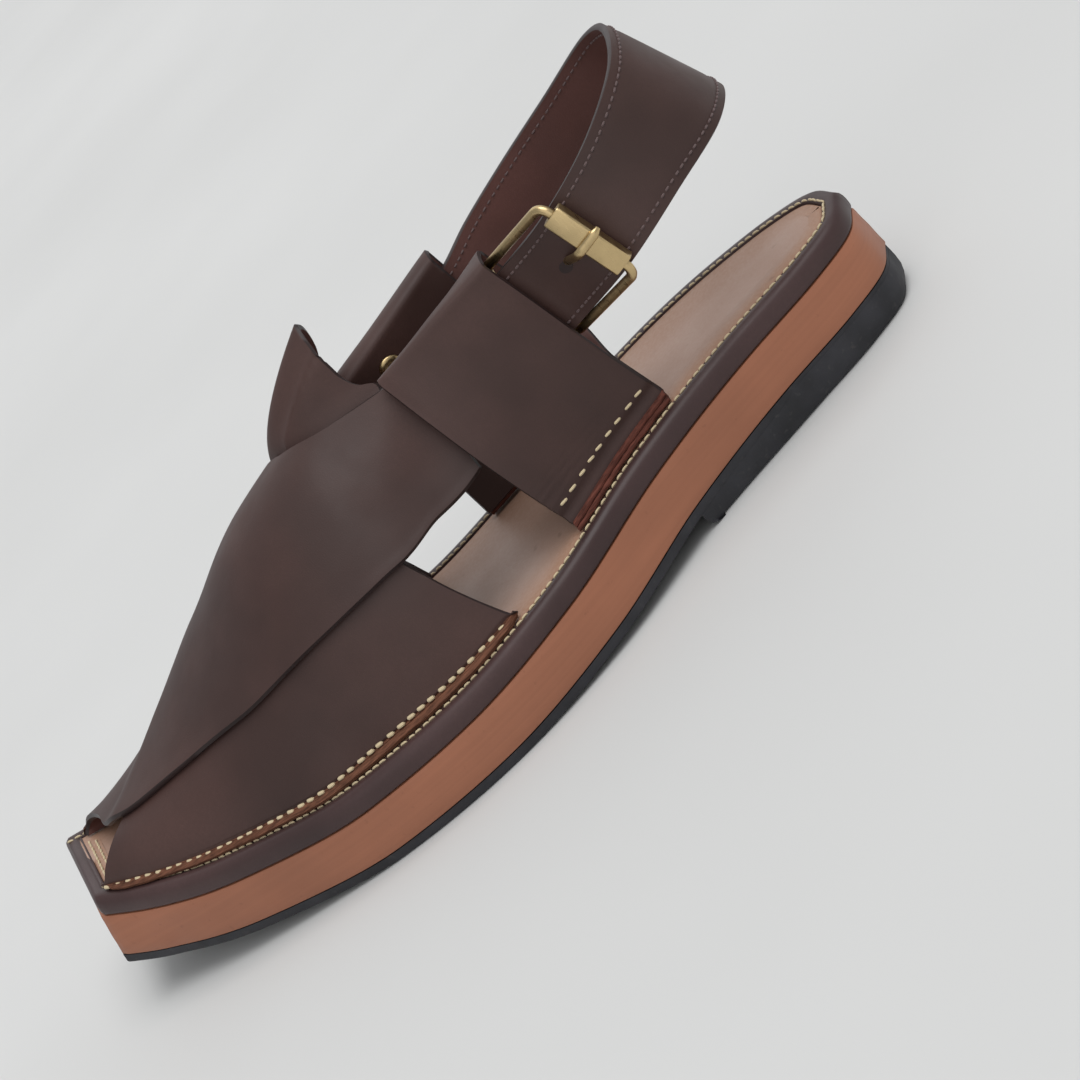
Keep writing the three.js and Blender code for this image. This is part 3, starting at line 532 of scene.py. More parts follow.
def thread(name, color):
    g = Graph(name)
    twist = g.node("ShaderNodeTexWave", Scale=900.0, Distortion=1.0)
    g.link(g.coords, twist.inputs["Vector"])
    tone = g.blend(g.band(twist.outputs["Fac"], 0, 1), times(color, 0.62), color)
    normal = g.bump(twist.outputs["Fac"], 0.4, 0.0001)
    return g.done(tone, None, normal, Roughness=0.6, Sheen_Weight=0.2)


def brass_material():
    g = Graph("brass")
    base = (0.64, 0.48, 0.25)
    tone = g.blend(g.band(g.noise(120, 4), 0.35, 0.7), times(base, 0.8), base)
    scratch = g.noise(1.0, 4, 0.6, g.stretched((2200, 250, 250)))
    dull = g.band(scratch, 0.3, 0.75, 0.24, 0.42)
    normal = g.bump(scratch, 0.08, 0.0001)
    return g.done(tone, dull, normal, Metallic=1.0)


DARK = leather("leather_dark", (0.062, 0.031, 0.026), 0.5)
DARK_RAND = leather("leather_rand", (0.056, 0.030, 0.029), 0.4, 0.18)
DARK_STRAP = leather("leather_strap", (0.061, 0.031, 0.026), 0.48)
LINING = leather("leather_lining", (0.115, 0.048, 0.040), 0.62, 0.3)
PAINTED = leather("edge_paint", (0.032, 0.019, 0.018), 0.4, 0.1)
RAW = raw_edge("raw_edge", (0.12, 0.038, 0.026))
FLESH = raw_edge("flange_edge", (0.15, 0.062, 0.036))
MIDSOLE_BROWN = midsole_material()
RUBBER = rubber_material()
TREAD_RUBBER = tread_material()
TAN = insole_material()
CREAM = thread("thread_cream", (0.74, 0.60, 0.37))
DARK_THREAD = thread("thread_dark", (0.13, 0.078, 0.075))
BRASS = brass_material()


# The sole

lift_share = column(BED_ROWS, 1)
spring_share = column(BED_ROWS, 2)
lateral_share = column(OUTLINE_ROWS, 1)
medial_share = column(OUTLINE_ROWS, 2)


def bed(x):
    x = np.asarray(x, float)
    return (BALL_HEIGHT + (SEAT - BALL_HEIGHT) * lift_share(x / LENGTH)
            + TOE_SPRING * spring_share(x / LENGTH))


def bed_angle(x):
    return np.arctan((bed(x + 1) - bed(x - 1)) / 2)


def layer(p, height):
    """Plan points raised from the bed, at right angles to it."""
    x = p[:, 0]
    a = bed_angle(x)
    return np.stack([x - np.sin(a) * height, p[:, 1], bed(x) + np.cos(a) * height], 1)


def rand_top(x):
    return bed(x) + RAND / np.cos(bed_angle(x))


def lateral_edge(x):
    return BALL * lateral_share(x / LENGTH)


def medial_edge(x):
    return -BALL * medial_share(x / LENGTH)


def outline_side(index, sign, slant):
    """One side of the sole's plan, from heel to toe."""
    points = [[row[0] * LENGTH + slant * smooth(row[0], 0.9, 1), sign * row[index] * BALL]
              for row in OUTLINE_ROWS]
    dense = catmull(points, np.linspace(0, 1, 1200))
    return spaced(dense, 130)


OUTLINE = np.vstack([outline_side(1, 1, -TOE_SLANT / 2)[::-1],
                     outline_side(2, -1, TOE_SLANT / 2)[1:]])


def inset(distance, round_off=0.0):
    """The outline moved in, with its toe corners moved in further by round_off."""
    p = OUTLINE
    a = unit(p - np.roll(p, 1, axis=0))
    b = unit(np.roll(p, -1, axis=0) - p)
    inward = unit(np.stack([-(a[:, 1] + b[:, 1]), a[:, 0] + b[:, 0]], 1))
    left = np.stack([-a[:, 1], a[:, 0]], 1)
    miter = np.maximum(0.5, (inward * left).sum(1))
    corner = (miter < 0.93).astype(float)[:, None]
    return p + inward * distance / miter[:, None] + inward * corner * round_off


COUNT = len(OUTLINE)


def fan(rings, name, materials, sharp=35):
    """Loft with flat ends that are closed by strips across the shoe."""
    count = len(rings[0])
    points = np.vstack(rings)
    faces = ring_faces(len(rings), count)
    kinds = [0] * len(faces)
    last = (len(rings) - 1) * count
    for base, flip in ((0, True), (last, False)):
        for i in range(math.ceil(count / 2) - 1):
            f = [base + i, base + i + 1, base + count - 2 - i, base + count - 1 - i]
            f = list(dict.fromkeys(f))
            if len(f) < 3:
                continue
            faces.append(f[::-1] if flip else f)
            kinds.append(1 if (flip and len(materials) > 1) else 0)
    return new_mesh(name, points, facing_out(points, faces), materials, kinds, sharp)


def on_floor(rings):
    """Rings with no point below the floor."""
    return [np.maximum(r, [-np.inf, -np.inf, 0]) for r in rings]


def build_outsole():
    under = -MIDSOLE - CLEAR
    bottom = -MIDSOLE - TREAD
    steps = [(1.8, bottom), (1.1, bottom + 0.25), (0.7, bottom + 0.9), (0.6, under)]
    rings = on_floor([layer(inset(d), h) for d, h in steps])
    plate = fan(rings, "outsole_plate", [RUBBER, TREAD_RUBBER])
    keep = OUTLINE[:, 0] <= HEEL_LENGTH - 0.2
    rows = []
    for d, z in ((3.6, 0.0), (2.4, 0.5), (1.7, 1.7), (0.9, 4.0), (0.62, 7.0), (0.6, 14.0)):
        p = inset(d)[keep]
        top = bed(p[:, 0]) - MIDSOLE - 1.5
        rows.append(np.stack([p[:, 0], p[:, 1], np.minimum(z, top)], 1))
    rings = []
    for row in rows:
        z = row[0, 2]
        breast = HEEL_LENGTH - 0.05
        if z < BREAST:
            breast = HEEL_LENGTH - BREAST + math.sqrt(max(BREAST ** 2 - (BREAST - z) ** 2, 0))
        row = row.copy()
        row[:, 0] = np.minimum(row[:, 0], breast)
        rings.append(row)
    fan(rings, "outsole_heel", [RUBBER, TREAD_RUBBER])
    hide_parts("outsole")


def build_midsole():
    steps = [(0.8, -MIDSOLE), (0.35, -MIDSOLE + 0.15), (0.2, -MIDSOLE + 0.5), (0.22, -10.5),
             (0.12, -7), (0.22, -3.5), (0.2, -0.7), (0.35, -0.2), (0.9, 0.0)]
    rings = [layer(inset(d, 0.5), h) for d, h in steps]
    piece = fan(rings, "midsole_slab", [MIDSOLE_BROWN], sharp=50)
    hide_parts("midsole")


def build_rand():
    section = [(0.7, 0.3), (0.1, 0.55), (-0.08, 1.4), (-0.2, 2.9), (-0.15, 4.3), (0.15, 5.5),
               (0.8, 6.45), (1.7, 6.93), (2.8, 7.05), (3.9, 6.9), (4.45, 6.6), (5.0, 6.85),
               (RAND_WIDTH, 6.7), (RAND_WIDTH, 0.3)]
    rings = [layer(inset(d, 1.3 if d < 3 else 0.6), h) for d, h in section]
    piece = loft("rand_strip", rings, [DARK_RAND], closed=True, sharp=60)
    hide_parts("rand")


def build_insole():
    edge = RAND_WIDTH + CLEAR
    steps = [(edge, 0.3), (edge, RAND - 1.1), (edge + 0.25, RAND - 0.65), (edge + 0.8, RAND - 0.4),
             (FOOT_INSET + 1.5, RAND - 0.3)]
    rings = [layer(inset(d), h) for d, h in steps]
    rim = inset(FOOT_INSET + 1.5)
    across = rim[::-1]
    from_end = np.minimum(rim[:, 0] - rim[:, 0].min(), rim[:, 0].max() - rim[:, 0])
    ends = smooth(from_end, 0, 22)
    for share in (0.06, 0.12, 0.18, 0.23, INSOLE_FLAT, 0.36, 0.44):
        depth = INSOLE_DIP * smooth(share, 0, INSOLE_FLAT) * ends
        rings.append(layer(mix(rim, across, share), RAND - 0.3 - depth))
    piece = fan(rings, "insole_sock", [TAN], sharp=60)
    mesh = piece.data
    # The edge attribute runs from 0 at the rim to 1 in the middle. It places the insole's painted
    # shade at the rim and its painted sky reflection in the middle.
    values = np.ones(len(mesh.vertices), np.float32)
    shares = [0, 0, 0, 0.05, 0.25, 0.5, 0.7, 0.85, 0.95, 1, 1, 1]
    for k, value in enumerate(shares):
        values[k * COUNT:(k + 1) * COUNT] = value
    mesh.attributes.new("edge", "FLOAT", "POINT").data.foreach_set("value", values)
    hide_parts("insole")


# The crossed upper

crest_share = column(VAMP_ROWS, 1)
crest_place = column(VAMP_ROWS, 2)
lateral_round = column(VAMP_ROWS, 3)
medial_round = column(VAMP_ROWS, 4)


def last_point(x, side):
    """Point of the last over the foot, side from -1 medial to 1 lateral."""
    share = x / LENGTH
    lateral = lateral_edge(x) - FOOT_INSET
    medial = medial_edge(x) + FOOT_INSET
    crest = mix(lateral, medial, crest_place(share))
    foot = np.where(side > 0, lateral, medial)
    power = np.where(side > 0, lateral_round(share), medial_round(share))
    turn = np.clip(np.abs(side), 0, 1) * math.pi / 2
    out = np.sin(turn) ** power
    up = np.maximum(np.cos(turn), 0) ** power
    return np.stack([x, crest + (foot - crest) * out,
                     rand_top(x) + CLEAR + INSTEP * crest_share(share) * up], -1)


def last_normal(x, side):
    d = 0.02
    reach = np.clip(side, -0.97, 0.97)
    along = last_point(x + 1, reach) - last_point(x - 1, reach)
    around = last_point(x, reach + d) - last_point(x, reach - d)
    return unit(-np.cross(around, along))


under_rows = [row for row in LATERAL_PANEL if row[0] <= 0.6 or row[0] == 1]
under_front = column(sorted([[-r[2], r[1]] for r in under_rows]), 1)
under_rear = column(sorted([[-r[4], r[3]] for r in under_rows]), 1)


def over_lateral(x, side):
    """How far the medial panel lies above the last to clear the other."""
    front = smooth(under_front(side) * LENGTH - x, -24, 0)
    rear = smooth(x - under_rear(side) * LENGTH, -28, 0)
    return (LEATHER - 0.1) * front * rear * smooth(side, -0.95, -0.6)


medial_rear = column(sorted([[r[4], r[3]] for r in MEDIAL_PANEL]), 1)
lateral_rear = column(sorted([[-r[4], r[3]] for r in LATERAL_PANEL]), 1)
horn_share = column(HORN_ROWS, 1)


def horn_height(x, side):
    """The lateral panel's end stands up from the last behind the medial panel."""
    start = medial_rear(side) * LENGTH - HORN_START
    run = np.maximum(start - lateral_rear(side) * LENGTH, HORN_START)
    return HORN * horn_share(side) * np.clip((start - x) / run, 0, 1) ** 0.5


def panel_grid(rows, sign, lift, folds, rise, steps=150, across=70):
    columns = [column(rows, k) for k in range(1, 5)]
    us = np.concatenate([[0.0] * 5, np.linspace(0.025, 1, steps)])
    vs = np.linspace(0, 1, across)
    u, v = np.meshgrid(us, vs, indexing="ij")
    front_x, front_side, rear_x, rear_side = [f(u) for f in columns]
    x = mix(front_x, rear_x, v) * LENGTH
    side = -sign * mix(front_side, rear_side, v)
    point = last_point(x, side)
    normal = last_normal(x, side)
    point[..., 2] += rise(x, side)
    low = lift(x, side)
    crease = folds(u, v, x, side)
    outer = point + normal * (low + LEATHER + crease)[..., None]
    inner = point + normal * (low + crease)[..., None]
    for k, (t, fillet) in enumerate(((1, 0), (0.7, 0.02), (0.4, 0.15), (0.15, 0.5), (0, 1.1))):
        foot = last_point(x[k], side[k])
        wave = 0.18 * np.sin(x[k] * 0.31) + 0.1 * np.sin(x[k] * 0.83 + 1)
        ends = np.minimum(np.abs(x[k] - x[k, 0]), np.abs(x[k] - x[k, -1]))
        round_end = 0.4 + 0.6 * np.sqrt(1 - (1 - np.clip(ends / 4, 0, 1)) ** 2)
        reach = sign * (FLANGE + wave) * t * round_end
        inner[k] = foot + np.stack([0 * x[k], reach, 0 * x[k]], -1)
        outer[k] = foot + np.stack([0 * x[k], reach + sign * (LEATHER if t < 0.1 else 0),
                                    LEATHER + fillet * (round_end - 0.4) / 0.6], -1)
        if 0.1 <= t < 0.5:
            outer[k][:, 1] += sign * 1.2
    return outer, inner


def lateral_folds(u, v, x, side):
    """Soft folds down the standing end, and a slow sway elsewhere."""
    behind = smooth(medial_rear(side) * LENGTH - x, 3, 14)
    folds = sum(depth * np.exp(-((side - place) / width) ** 2)
                for depth, place, width in ((-0.9, -0.02, 0.035), (0.6, 0.05, 0.03),
                                            (-0.7, 0.10, 0.025)))
    sway = 0.12 * np.sin(u * 26 + v * 5) * smooth(u, 0.05, 0.2) * (1 - smooth(u, 0.55, 0.65))
    return behind * folds * (1 - 0.85 * smooth(v, 0.55, 0.95)) + sway


def medial_folds(u, v, x, side):
    sway = 0.06 * np.sin(u * 17 + v * 6 + 1) * smooth(v, 0.15, 0.4)
    hollow = -0.3 * np.exp(-((v - 0.3) / 0.18) ** 2) * smooth(u, 0.3, 0.5)
    lip = 0.25 * np.exp(-(v / 0.05) ** 2) * smooth(u, 0.1, 0.25)
    return (sway + hollow) * smooth(u, 0.04, 0.2) + lip


def level(x, side):
    return 0 * x


def build_upper():
    rows = {}
    for side, table, sign, lift, folds, rise in (
            ("lateral", LATERAL_PANEL, 1, level, lateral_folds, horn_height),
            ("medial", MEDIAL_PANEL, -1, over_lateral, medial_folds, level)):
        outer, inner = panel_grid(table, sign, lift, folds, rise)
        panel = wall(f"panel_{side}", outer, inner, [DARK, LINING, PAINTED], 0.3)
        paint_flange(panel, outer.shape[:2])
        rows[side] = (outer[5], unit(outer[5] - inner[5]))
    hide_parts("upper")
    return rows


def paint_flange(piece, shape):
    """The flange's outer strip shows the leather's raw, reddish flesh side."""
    mesh = piece.data
    mesh.materials.append(FLESH)
    rows, cols = shape
    flat = 2 * (cols - 1)
    kinds = np.zeros(len(mesh.polygons), np.int32)
    mesh.polygons.foreach_get("material_index", kinds)
    kinds[:3 * flat:2] = 3
    start = 2 * (rows - 1) * (cols - 1)
    kinds[start:start + 2 * (cols - 1)] = 3
    mesh.polygons.foreach_set("material_index", kinds)


# The side loops

def loop_point(rows, sign, fold, up, along, depth, onward=0.0):
    """Point of a side loop: share of its height, share of its width, and depth inward."""
    columns = [column(rows, k) for k in (1, 2, 3)]
    foot_x = mix(rows[0][1], rows[0][2], along) * LENGTH
    foot = (lateral_edge(foot_x) - FOOT_INSET) if sign > 0 else (medial_edge(foot_x) + FOOT_INSET)
    top = BALL * mix(fold[0], fold[1], along)
    height = LOOP_HEIGHT if sign > 0 else MEDIAL_LOOP_HEIGHT

    def at(share):
        front, rear, inward = [f(share) for f in columns]
        x = mix(front, rear, along) * LENGTH
        return np.stack([x, mix(foot, top, inward),
                         rand_top(foot_x) + CLEAR + share * height], -1)

    slope = at(np.minimum(up + 0.02, 1.0)) - at(np.maximum(up - 0.02, 0.0))
    slope[..., 0] = 0
    slope = unit(slope)
    inward_dir = np.stack([0 * slope[..., 1], -sign * slope[..., 2], sign * slope[..., 1]], -1)
    return (at(up) + inward_dir * np.asarray(depth)[..., None]
            + slope * np.asarray(onward)[..., None])


def build_loop(name, rows, sign, fold, slot, slot_front, mouth, wrinkle):
    alongs = np.linspace(0, 1, 60)
    ups = np.concatenate([np.linspace(0.03, 0.3, 26), np.linspace(0.31, 1, 40)])
    width = (mix(slot_front, slot, smooth(alongs, 0, SLOT_OPEN))
             + mouth * smooth(alongs, SLOT_MOUTH, 1))
    full = 2 * LOOP_LEATHER + width
    outer = []
    inner = []

    def add(up, outer_depth, inner_depth, outer_on=0.0, inner_on=0.0, press=0.0):
        u = np.full(len(alongs), up)
        for grid, depth, onward in ((outer, outer_depth, outer_on), (inner, inner_depth, inner_on)):
            grid.append(loop_point(rows, sign, fold, u, alongs, depth + press, 0 * alongs + onward))

    for up in ups:
        press = wrinkle(up, alongs)
        edge = 0.35 * (np.exp(-(alongs / 0.05) ** 2) + np.exp(-((1 - alongs) / 0.05) ** 2))
        add(up, 0 * alongs + edge, 0 * alongs + LOOP_LEATHER, press=press)
    for turn in np.linspace(0.12, 0.88, 9) * math.pi:
        share = (1 - math.cos(turn)) / 2
        add(1.0, full * share, mix(LOOP_LEATHER, full - LOOP_LEATHER, share),
            math.sin(turn) * FOLD_REACH, math.sin(turn) * (FOLD_REACH - LOOP_LEATHER))
    for up in ups[::-1]:
        open_share = float(smooth(up, SLOT_LOW - 0.14, SLOT_LOW))
        depth = mix(2 * LOOP_LEATHER, full, open_share)
        add(up, depth, depth - LOOP_LEATHER)
    return wall(name, np.array(outer), np.array(inner), [DARK, LINING, PAINTED], 0.28)


def build_welt(name, rows, sign, fold):
    """The stacked raw edges of the leathers at a loop's foot."""
    alongs = np.linspace(0.0, 1.0, 50)
    for k in range(2):
        ragged = 0.16 * np.sin(alongs * 31 + 2 * k) + 0.1 * np.sin(alongs * 67 + 5 * k)
        reach = -2.4 + k * 0.9 + ragged
        z0 = k * 1.35
        z1 = z0 + 1.27
        rings = []
        for i, a in enumerate(alongs):
            ring = []
            for depth, z in ((1.5, z0), (reach[i] + 0.2, z0), (reach[i], z0 + 0.3),
                             (reach[i] + 0.1, z1 - 0.3), (reach[i] + 0.4, z1), (1.5, z1)):
                p = loop_point(rows, sign, fold, np.array(0.0), np.array(a), np.array(depth))
                ring.append(p + [0, 0, z])
            rings.append(ring)
        loft(f"{name}_{k + 1}", rings, [RAW], sharp=50)


def wrinkle_lateral(up, alongs):
    """Small uneven creases close to the foot seam, and the trough that the seam pulls in."""
    near = math.exp(-((up - 0.19) / 0.08) ** 2)
    ripple = (0.10 * np.sin(up * 150 + alongs * 11 + 1.8 * np.sin(alongs * 5 + up * 20))
              + 0.07 * np.sin(up * 235 - alongs * 17 + 2.1 * np.sin(alongs * 9)))
    trough = 0.8 * math.exp(-((up - 0.085) / 0.03) ** 2)
    return ripple * near * smooth(1 - alongs, 0.2, 0.8) + trough


def wrinkle_medial(up, alongs):
    return 0.15 * np.sin(up * 60 + alongs * 7) * math.exp(-((up - 0.2) / 0.12) ** 2)


LATERAL_SLOT = STRAP + 2 * TAB + 3 * CLEAR + SLOT_SLACK
MEDIAL_SLOT = STRAP + 2 * CLEAR + SLOT_SLACK


def build_loops():
    lateral = build_loop(
        "loop_lateral_leather", LATERAL_LOOP, 1, LATERAL_FOLD, LATERAL_SLOT, 4 * CLEAR,
        BUCKLE_ROOM, wrinkle_lateral)
    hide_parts("loop_lateral")
    build_welt("loop_lateral_welt", LATERAL_LOOP, 1, LATERAL_FOLD)
    seam = {"lateral": seam_of(LATERAL_LOOP, 1, LATERAL_FOLD, 0.125, 0.95)}
    medial = build_loop(
        "loop_medial_leather", MEDIAL_LOOP, -1, MEDIAL_FOLD, MEDIAL_SLOT, MEDIAL_SLOT, 0,
        wrinkle_medial)
    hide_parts("loop_medial")
    build_welt("loop_medial_welt", MEDIAL_LOOP, -1, MEDIAL_FOLD)
    seam["medial"] = seam_of(MEDIAL_LOOP, -1, MEDIAL_FOLD, 0.125, 0.15)
    return seam


def seam_of(rows, sign, fold, up, sunk):
    """Path and normals of the seam at a loop's foot."""
    alongs = np.linspace(0.04, 0.97, 60)
    u = np.full(60, up)
    p = loop_point(rows, sign, fold, u, alongs, 0 * alongs + sunk * 0.35)
    q = loop_point(rows, sign, fold, u, alongs, 0 * alongs + 2)
    return p, unit(p - q)


# The heel strap and its buckle

STRAP_DEPTH = LOOP_LEATHER + CLEAR + SLOT_SLACK / 2 + STRAP / 2


def strap_edge(index, up):
    def inside(rows, sign, fold, along):
        return loop_point(rows, sign, fold, np.array(up), np.array(along), np.array(STRAP_DEPTH))

    free = [[row[index] * LENGTH, row[index + 1] * BALL, row[index + 2] * STRAP_TOP]
            for row in STRAP_ROWS]
    points = [inside(LATERAL_LOOP, 1, LATERAL_FOLD, a) for a in (0.38, 0.7, 1.0)]
    points += free
    points += [inside(MEDIAL_LOOP, -1, MEDIAL_FOLD, a) for a in (1.0, 0.6, 0.12)]
    return np.array(points, float)


UPPER_EDGE = strap_edge(0, 0.93)
LOWER_EDGE = strap_edge(3, 0.51)


def strap_frames(shares):
    """Edges, middle and directions of the heel strap along its length."""
    shares = np.atleast_1d(np.asarray(shares, float))
    top = catmull(UPPER_EDGE, shares)
    low = catmull(LOWER_EDGE, shares)
    d = 1e-3
    ahead = np.clip(shares + d, 0, 1)
    behind = np.clip(shares - d, 0, 1)
    along = (unit(catmull(UPPER_EDGE, ahead) - catmull(UPPER_EDGE, behind))
             + unit(catmull(LOWER_EDGE, ahead) - catmull(LOWER_EDGE, behind)))
    across = unit(top - low)
    outward = unit(np.cross(unit(along), across))
    return top, low, (top + low) / 2, across, outward


def strap_frame(share):
    return [v[0] for v in strap_frames([share])]


ROLLER_SHARE = 0.234
HOLE_SHARE = 0.200
BASE_SHARE = 0.142


def build_strap():
    shares = np.linspace(0, 1, 240)
    top, low, middle, across, outward = strap_frames(shares)
    half = np.linalg.norm(top - low, axis=1) / 2
    section = []
    t = STRAP / 2
    for s in np.linspace(-1, 1, 15):
        edge = abs(s) ** 6
        section.append((s * 0.985, t - 0.21 * edge, 0))
    section.append((1.0, 0.35 * t, 2))
    section.append((1.0, -0.35 * t, 2))
    for s in np.linspace(1, -1, 15):
        section.append((s * 0.985, -t + 0.2 * abs(s) ** 6, 1))
    section.append((-1.0, -0.35 * t, 2))
    section.append((-1.0, 0.35 * t, 2))
    rings = []
    for k, w in enumerate(half):
        ring = []
        for s, d, _ in section:
            near = np.exp(-((w - abs(s) * w - 2.6) / 0.9) ** 2)
            groove = 0.16 * near * (1 if d > 0 else -1)
            ring.append(middle[k] + across[k] * s * w + outward[k] * (d - groove))
        rings.append(ring)
    sorts = [part[2] for part in section]
    kinds = [a if a == b else 2 for a, b in zip(sorts, sorts[1:] + sorts[:1])]
    kinds = kinds * (len(rings) - 1) + [2, 2]
    piece = loft("heel_strap_leather", rings, [DARK_STRAP, LINING, PAINTED], indices=kinds,
                 sharp=50)
    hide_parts("heel_strap")
    for name, sign in (("strap_stitches_upper", 1), ("strap_stitches_lower", -1)):
        row = middle + across * (sign * (half - 2.7))[:, None]
        for suffix, face, thick in (("", outward, 0.6), ("_inside", -outward, 0.55)):
            path = row + face * (t - 0.1)
            stitch_row(name + suffix, path[4:-4], face[4:-4], DARK_THREAD, 2.25, 1.55, thick)


def strap_reach(middle, outward):
    """How far the strap's outer face bows out under the roller."""
    span = ROLLER_WIDTH / length_of(catmull(UPPER_EDGE, np.linspace(0, 1, 400)))
    top, low, _, _, out = strap_frames(ROLLER_SHARE + np.linspace(-span, span, 9))
    faces = np.vstack([top, low]) + np.vstack([out, out]) * STRAP / 2
    return float(((faces - middle) @ outward).max())


def buckle_frame_vectors():
    """Place and directions of the buckle, from the strap under it."""
    _, _, roller_mid, roller_across, roller_out = strap_frame(ROLLER_SHARE)
    _, _, base_mid, _, base_out = strap_frame(BASE_SHARE)
    lift = strap_reach(roller_mid, roller_out) + 4 * CLEAR + ROLLER_THICK / 2
    drop = STRAP / 2 + 2 * CLEAR + 2 * PRONG + WIRE
    middle = roller_mid + roller_out * lift
    axis = base_mid - base_out * drop - middle
    reach = float(np.linalg.norm(axis))
    toward = axis / reach
    up = unit(roller_across - toward * np.dot(roller_across, toward))
    out = unit(np.cross(toward, up))
    if np.dot(out, roller_out) < 0:
        out = -out
    return middle, toward, up, out, reach, roller_out


MIDDLE, TOWARD, UP, OUT, REACH, ROLLER_OUT = buckle_frame_vectors()


def buckle_point(along, across, out):
    return MIDDLE + TOWARD * along + UP * across + OUT * out


def build_buckle():
    half = BUCKLE_WIDTH / 2
    high = half - BUCKLE_CORNER
    path = []
    corners = [(REACH - BUCKLE_CORNER, -high, -90), (REACH - BUCKLE_CORNER, high, 0),
               (BUCKLE_CORNER, high, 90), (BUCKLE_CORNER, -high, 180)]
    for cx, cy, start in corners:
        for a in np.radians(np.linspace(start, start + 90, 10)):
            path.append([cx + BUCKLE_CORNER * math.cos(a), cy + BUCKLE_CORNER * math.sin(a)])
    path = spaced(np.array(path), 220, closed=True)
    points = np.array([buckle_point(x, y, 0) for x, y in path])
    turn = full_turn(14)
    ahead = np.roll(points, -1, axis=0)
    behind = np.roll(points, 1, axis=0)
    tangent = unit(ahead - behind)
    first = unit(np.cross(OUT, tangent))
    rings = [p + WIRE * (np.outer(np.cos(turn), a) + 0.92 * np.outer(np.sin(turn), OUT))
             for p, a in zip(points, first)]
    piece = loft("buckle_frame_bar", rings, [BRASS], closed=True, sharp=60)
    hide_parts("buckle_frame")

    roller_out = unit(ROLLER_OUT - UP * np.dot(ROLLER_OUT, UP))
    onward = unit(np.cross(roller_out, UP))
    w = ROLLER_WIDTH / 2
    t = ROLLER_THICK / 2
    profile = []
    for cx, cy, start in ((w - 0.8, t - 0.8, 0), (-w + 0.8, t - 0.8, 90),
                          (-w + 0.8, -t + 0.8, 180), (w - 0.8, -t + 0.8, 270)):
        for a in np.radians(np.linspace(start, start + 90, 6)):
            profile.append((cx + 0.8 * math.cos(a), cy + 0.8 * math.sin(a)))
    bore = [(1.7 * math.cos(a), 1.7 * math.sin(a)) for a in full_turn(24)]
    profile, bore = [sorted(shape, key=lambda p: math.atan2(p[1], p[0]) % (2 * math.pi))
                     for shape in (profile, bore)]
    long = BUCKLE_WIDTH / 2 - BUCKLE_CORNER - CLEAR
    rings = [[MIDDLE + onward * x * scale + roller_out * y * scale + UP * z for x, y in shape]
             for shape, z, scale in (
                 (bore, -long, 1), (profile, -long, 0.93), (profile, -long + 0.3, 1),
                 (profile, long - 0.3, 1), (profile, long, 0.93), (bore, long, 1),
                 (bore, -long, 1))]
    piece = loft("buckle_roller_sleeve", rings, [BRASS], caps=False, sharp=40)
    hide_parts("buckle_roller")

    wrap = WIRE + CLEAR + PRONG
    _, _, hole_mid, _, hole_out = strap_frame(HOLE_SHARE)
    hole = hole_mid - MIDDLE
    ahead = onward if np.dot(onward, TOWARD) > 0 else -onward
    over = [(-w - 1.7, -0.1), (-w - 0.7, 0.8), (-w * 0.5, 1.05), (0, 1.05), (w * 1.1, 0.75)]
    points = [MIDDLE + ahead * a + roller_out * (t + b) for a, b in over]
    points += [buckle_point(np.dot(hole, TOWARD), 0, np.dot(hole, OUT)),
               buckle_point(REACH - 2 * wrap, 0, -wrap * 0.9)]
    for k in range(8):
        a = math.pi * mix(-0.55, 0.45, k / 7)
        points.append(buckle_point(REACH + wrap * math.cos(a), 0, wrap * math.sin(a)))
    path = spaced(catmull(points, np.linspace(0, 1, 400)), 90)
    tangent = unit(np.gradient(path, axis=0))
    out = unit(np.cross(tangent, UP))
    turn = full_turn(12)
    rings = []
    for k, p in enumerate(path):
        tip = min(1.0, 0.55 + k * 0.12)
        rings.append(p + np.outer(np.cos(turn) * 1.3 * tip, UP)
                     + np.outer(np.sin(turn) * 0.85 * tip, out[k]))
    piece = loft("buckle_prong_tongue", rings, [BRASS], sharp=60)
    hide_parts("buckle_prong")

    # The strap hole is a flat oval in dark edge-paint colour, laid just above the strap's face and
    # capped again 0.5 mm down. It is painted shade standing in for the open hole around the prong.
    rim = []
    for a in full_turn(24):
        rim.append(hole_mid + hole_out * (STRAP / 2 + 0.02)
                   + unit(np.cross(UP, hole_out)) * 2.5 * math.cos(a) + UP * 1.7 * math.sin(a))
    floor_ring = [p - hole_out * 0.5 for p in rim]
    loft("strap_hole_painted_shade", [floor_ring, rim], [PAINTED])


def build_rivet():
    along = 0.28
    up = 0.885

    def at(u, a):
        return loop_point(MEDIAL_LOOP, -1, MEDIAL_FOLD, np.array(u), np.array(a),
                          np.array(STRAP_DEPTH))

    middle = at(up, along)
    rise = at(up + 0.05, along) - at(up - 0.05, along)
    back = at(up, along + 0.1) - at(up, along - 0.1)
    out = unit(np.cross(rise, back))
    a = unit(rise)
    b = np.cross(out, a)
    face = (STRAP + SLOT_SLACK) / 2 + LOOP_LEATHER + 2.5 * CLEAR - 0.35
    turn = full_turn(32)
    profile = [(3.7, 0.0), (3.7, 0.35), (3.5, 0.6), (2.9, 0.95), (2.3, 1.15), (1.9, 1.05),
               (1.6, 1.1), (1.0, 1.25), (0.3, 1.3)]
    for name, sign in (("rivet_head_outer", 1), ("rivet_head_inner", -1)):
        rings = [[middle + out * sign * (face + h) + r * (a * math.cos(q) + b * math.sin(q))
                  for q in turn] for r, h in profile]
        piece = loft(name, rings, [BRASS], sharp=60)
        if sign > 0:
            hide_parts("rivet")


# Stitching on the sole and the flanges

def bed_normals(points):
    a = bed_angle(points[:, 0])
    return np.stack([-np.sin(a), 0 * a, np.cos(a)], 1)


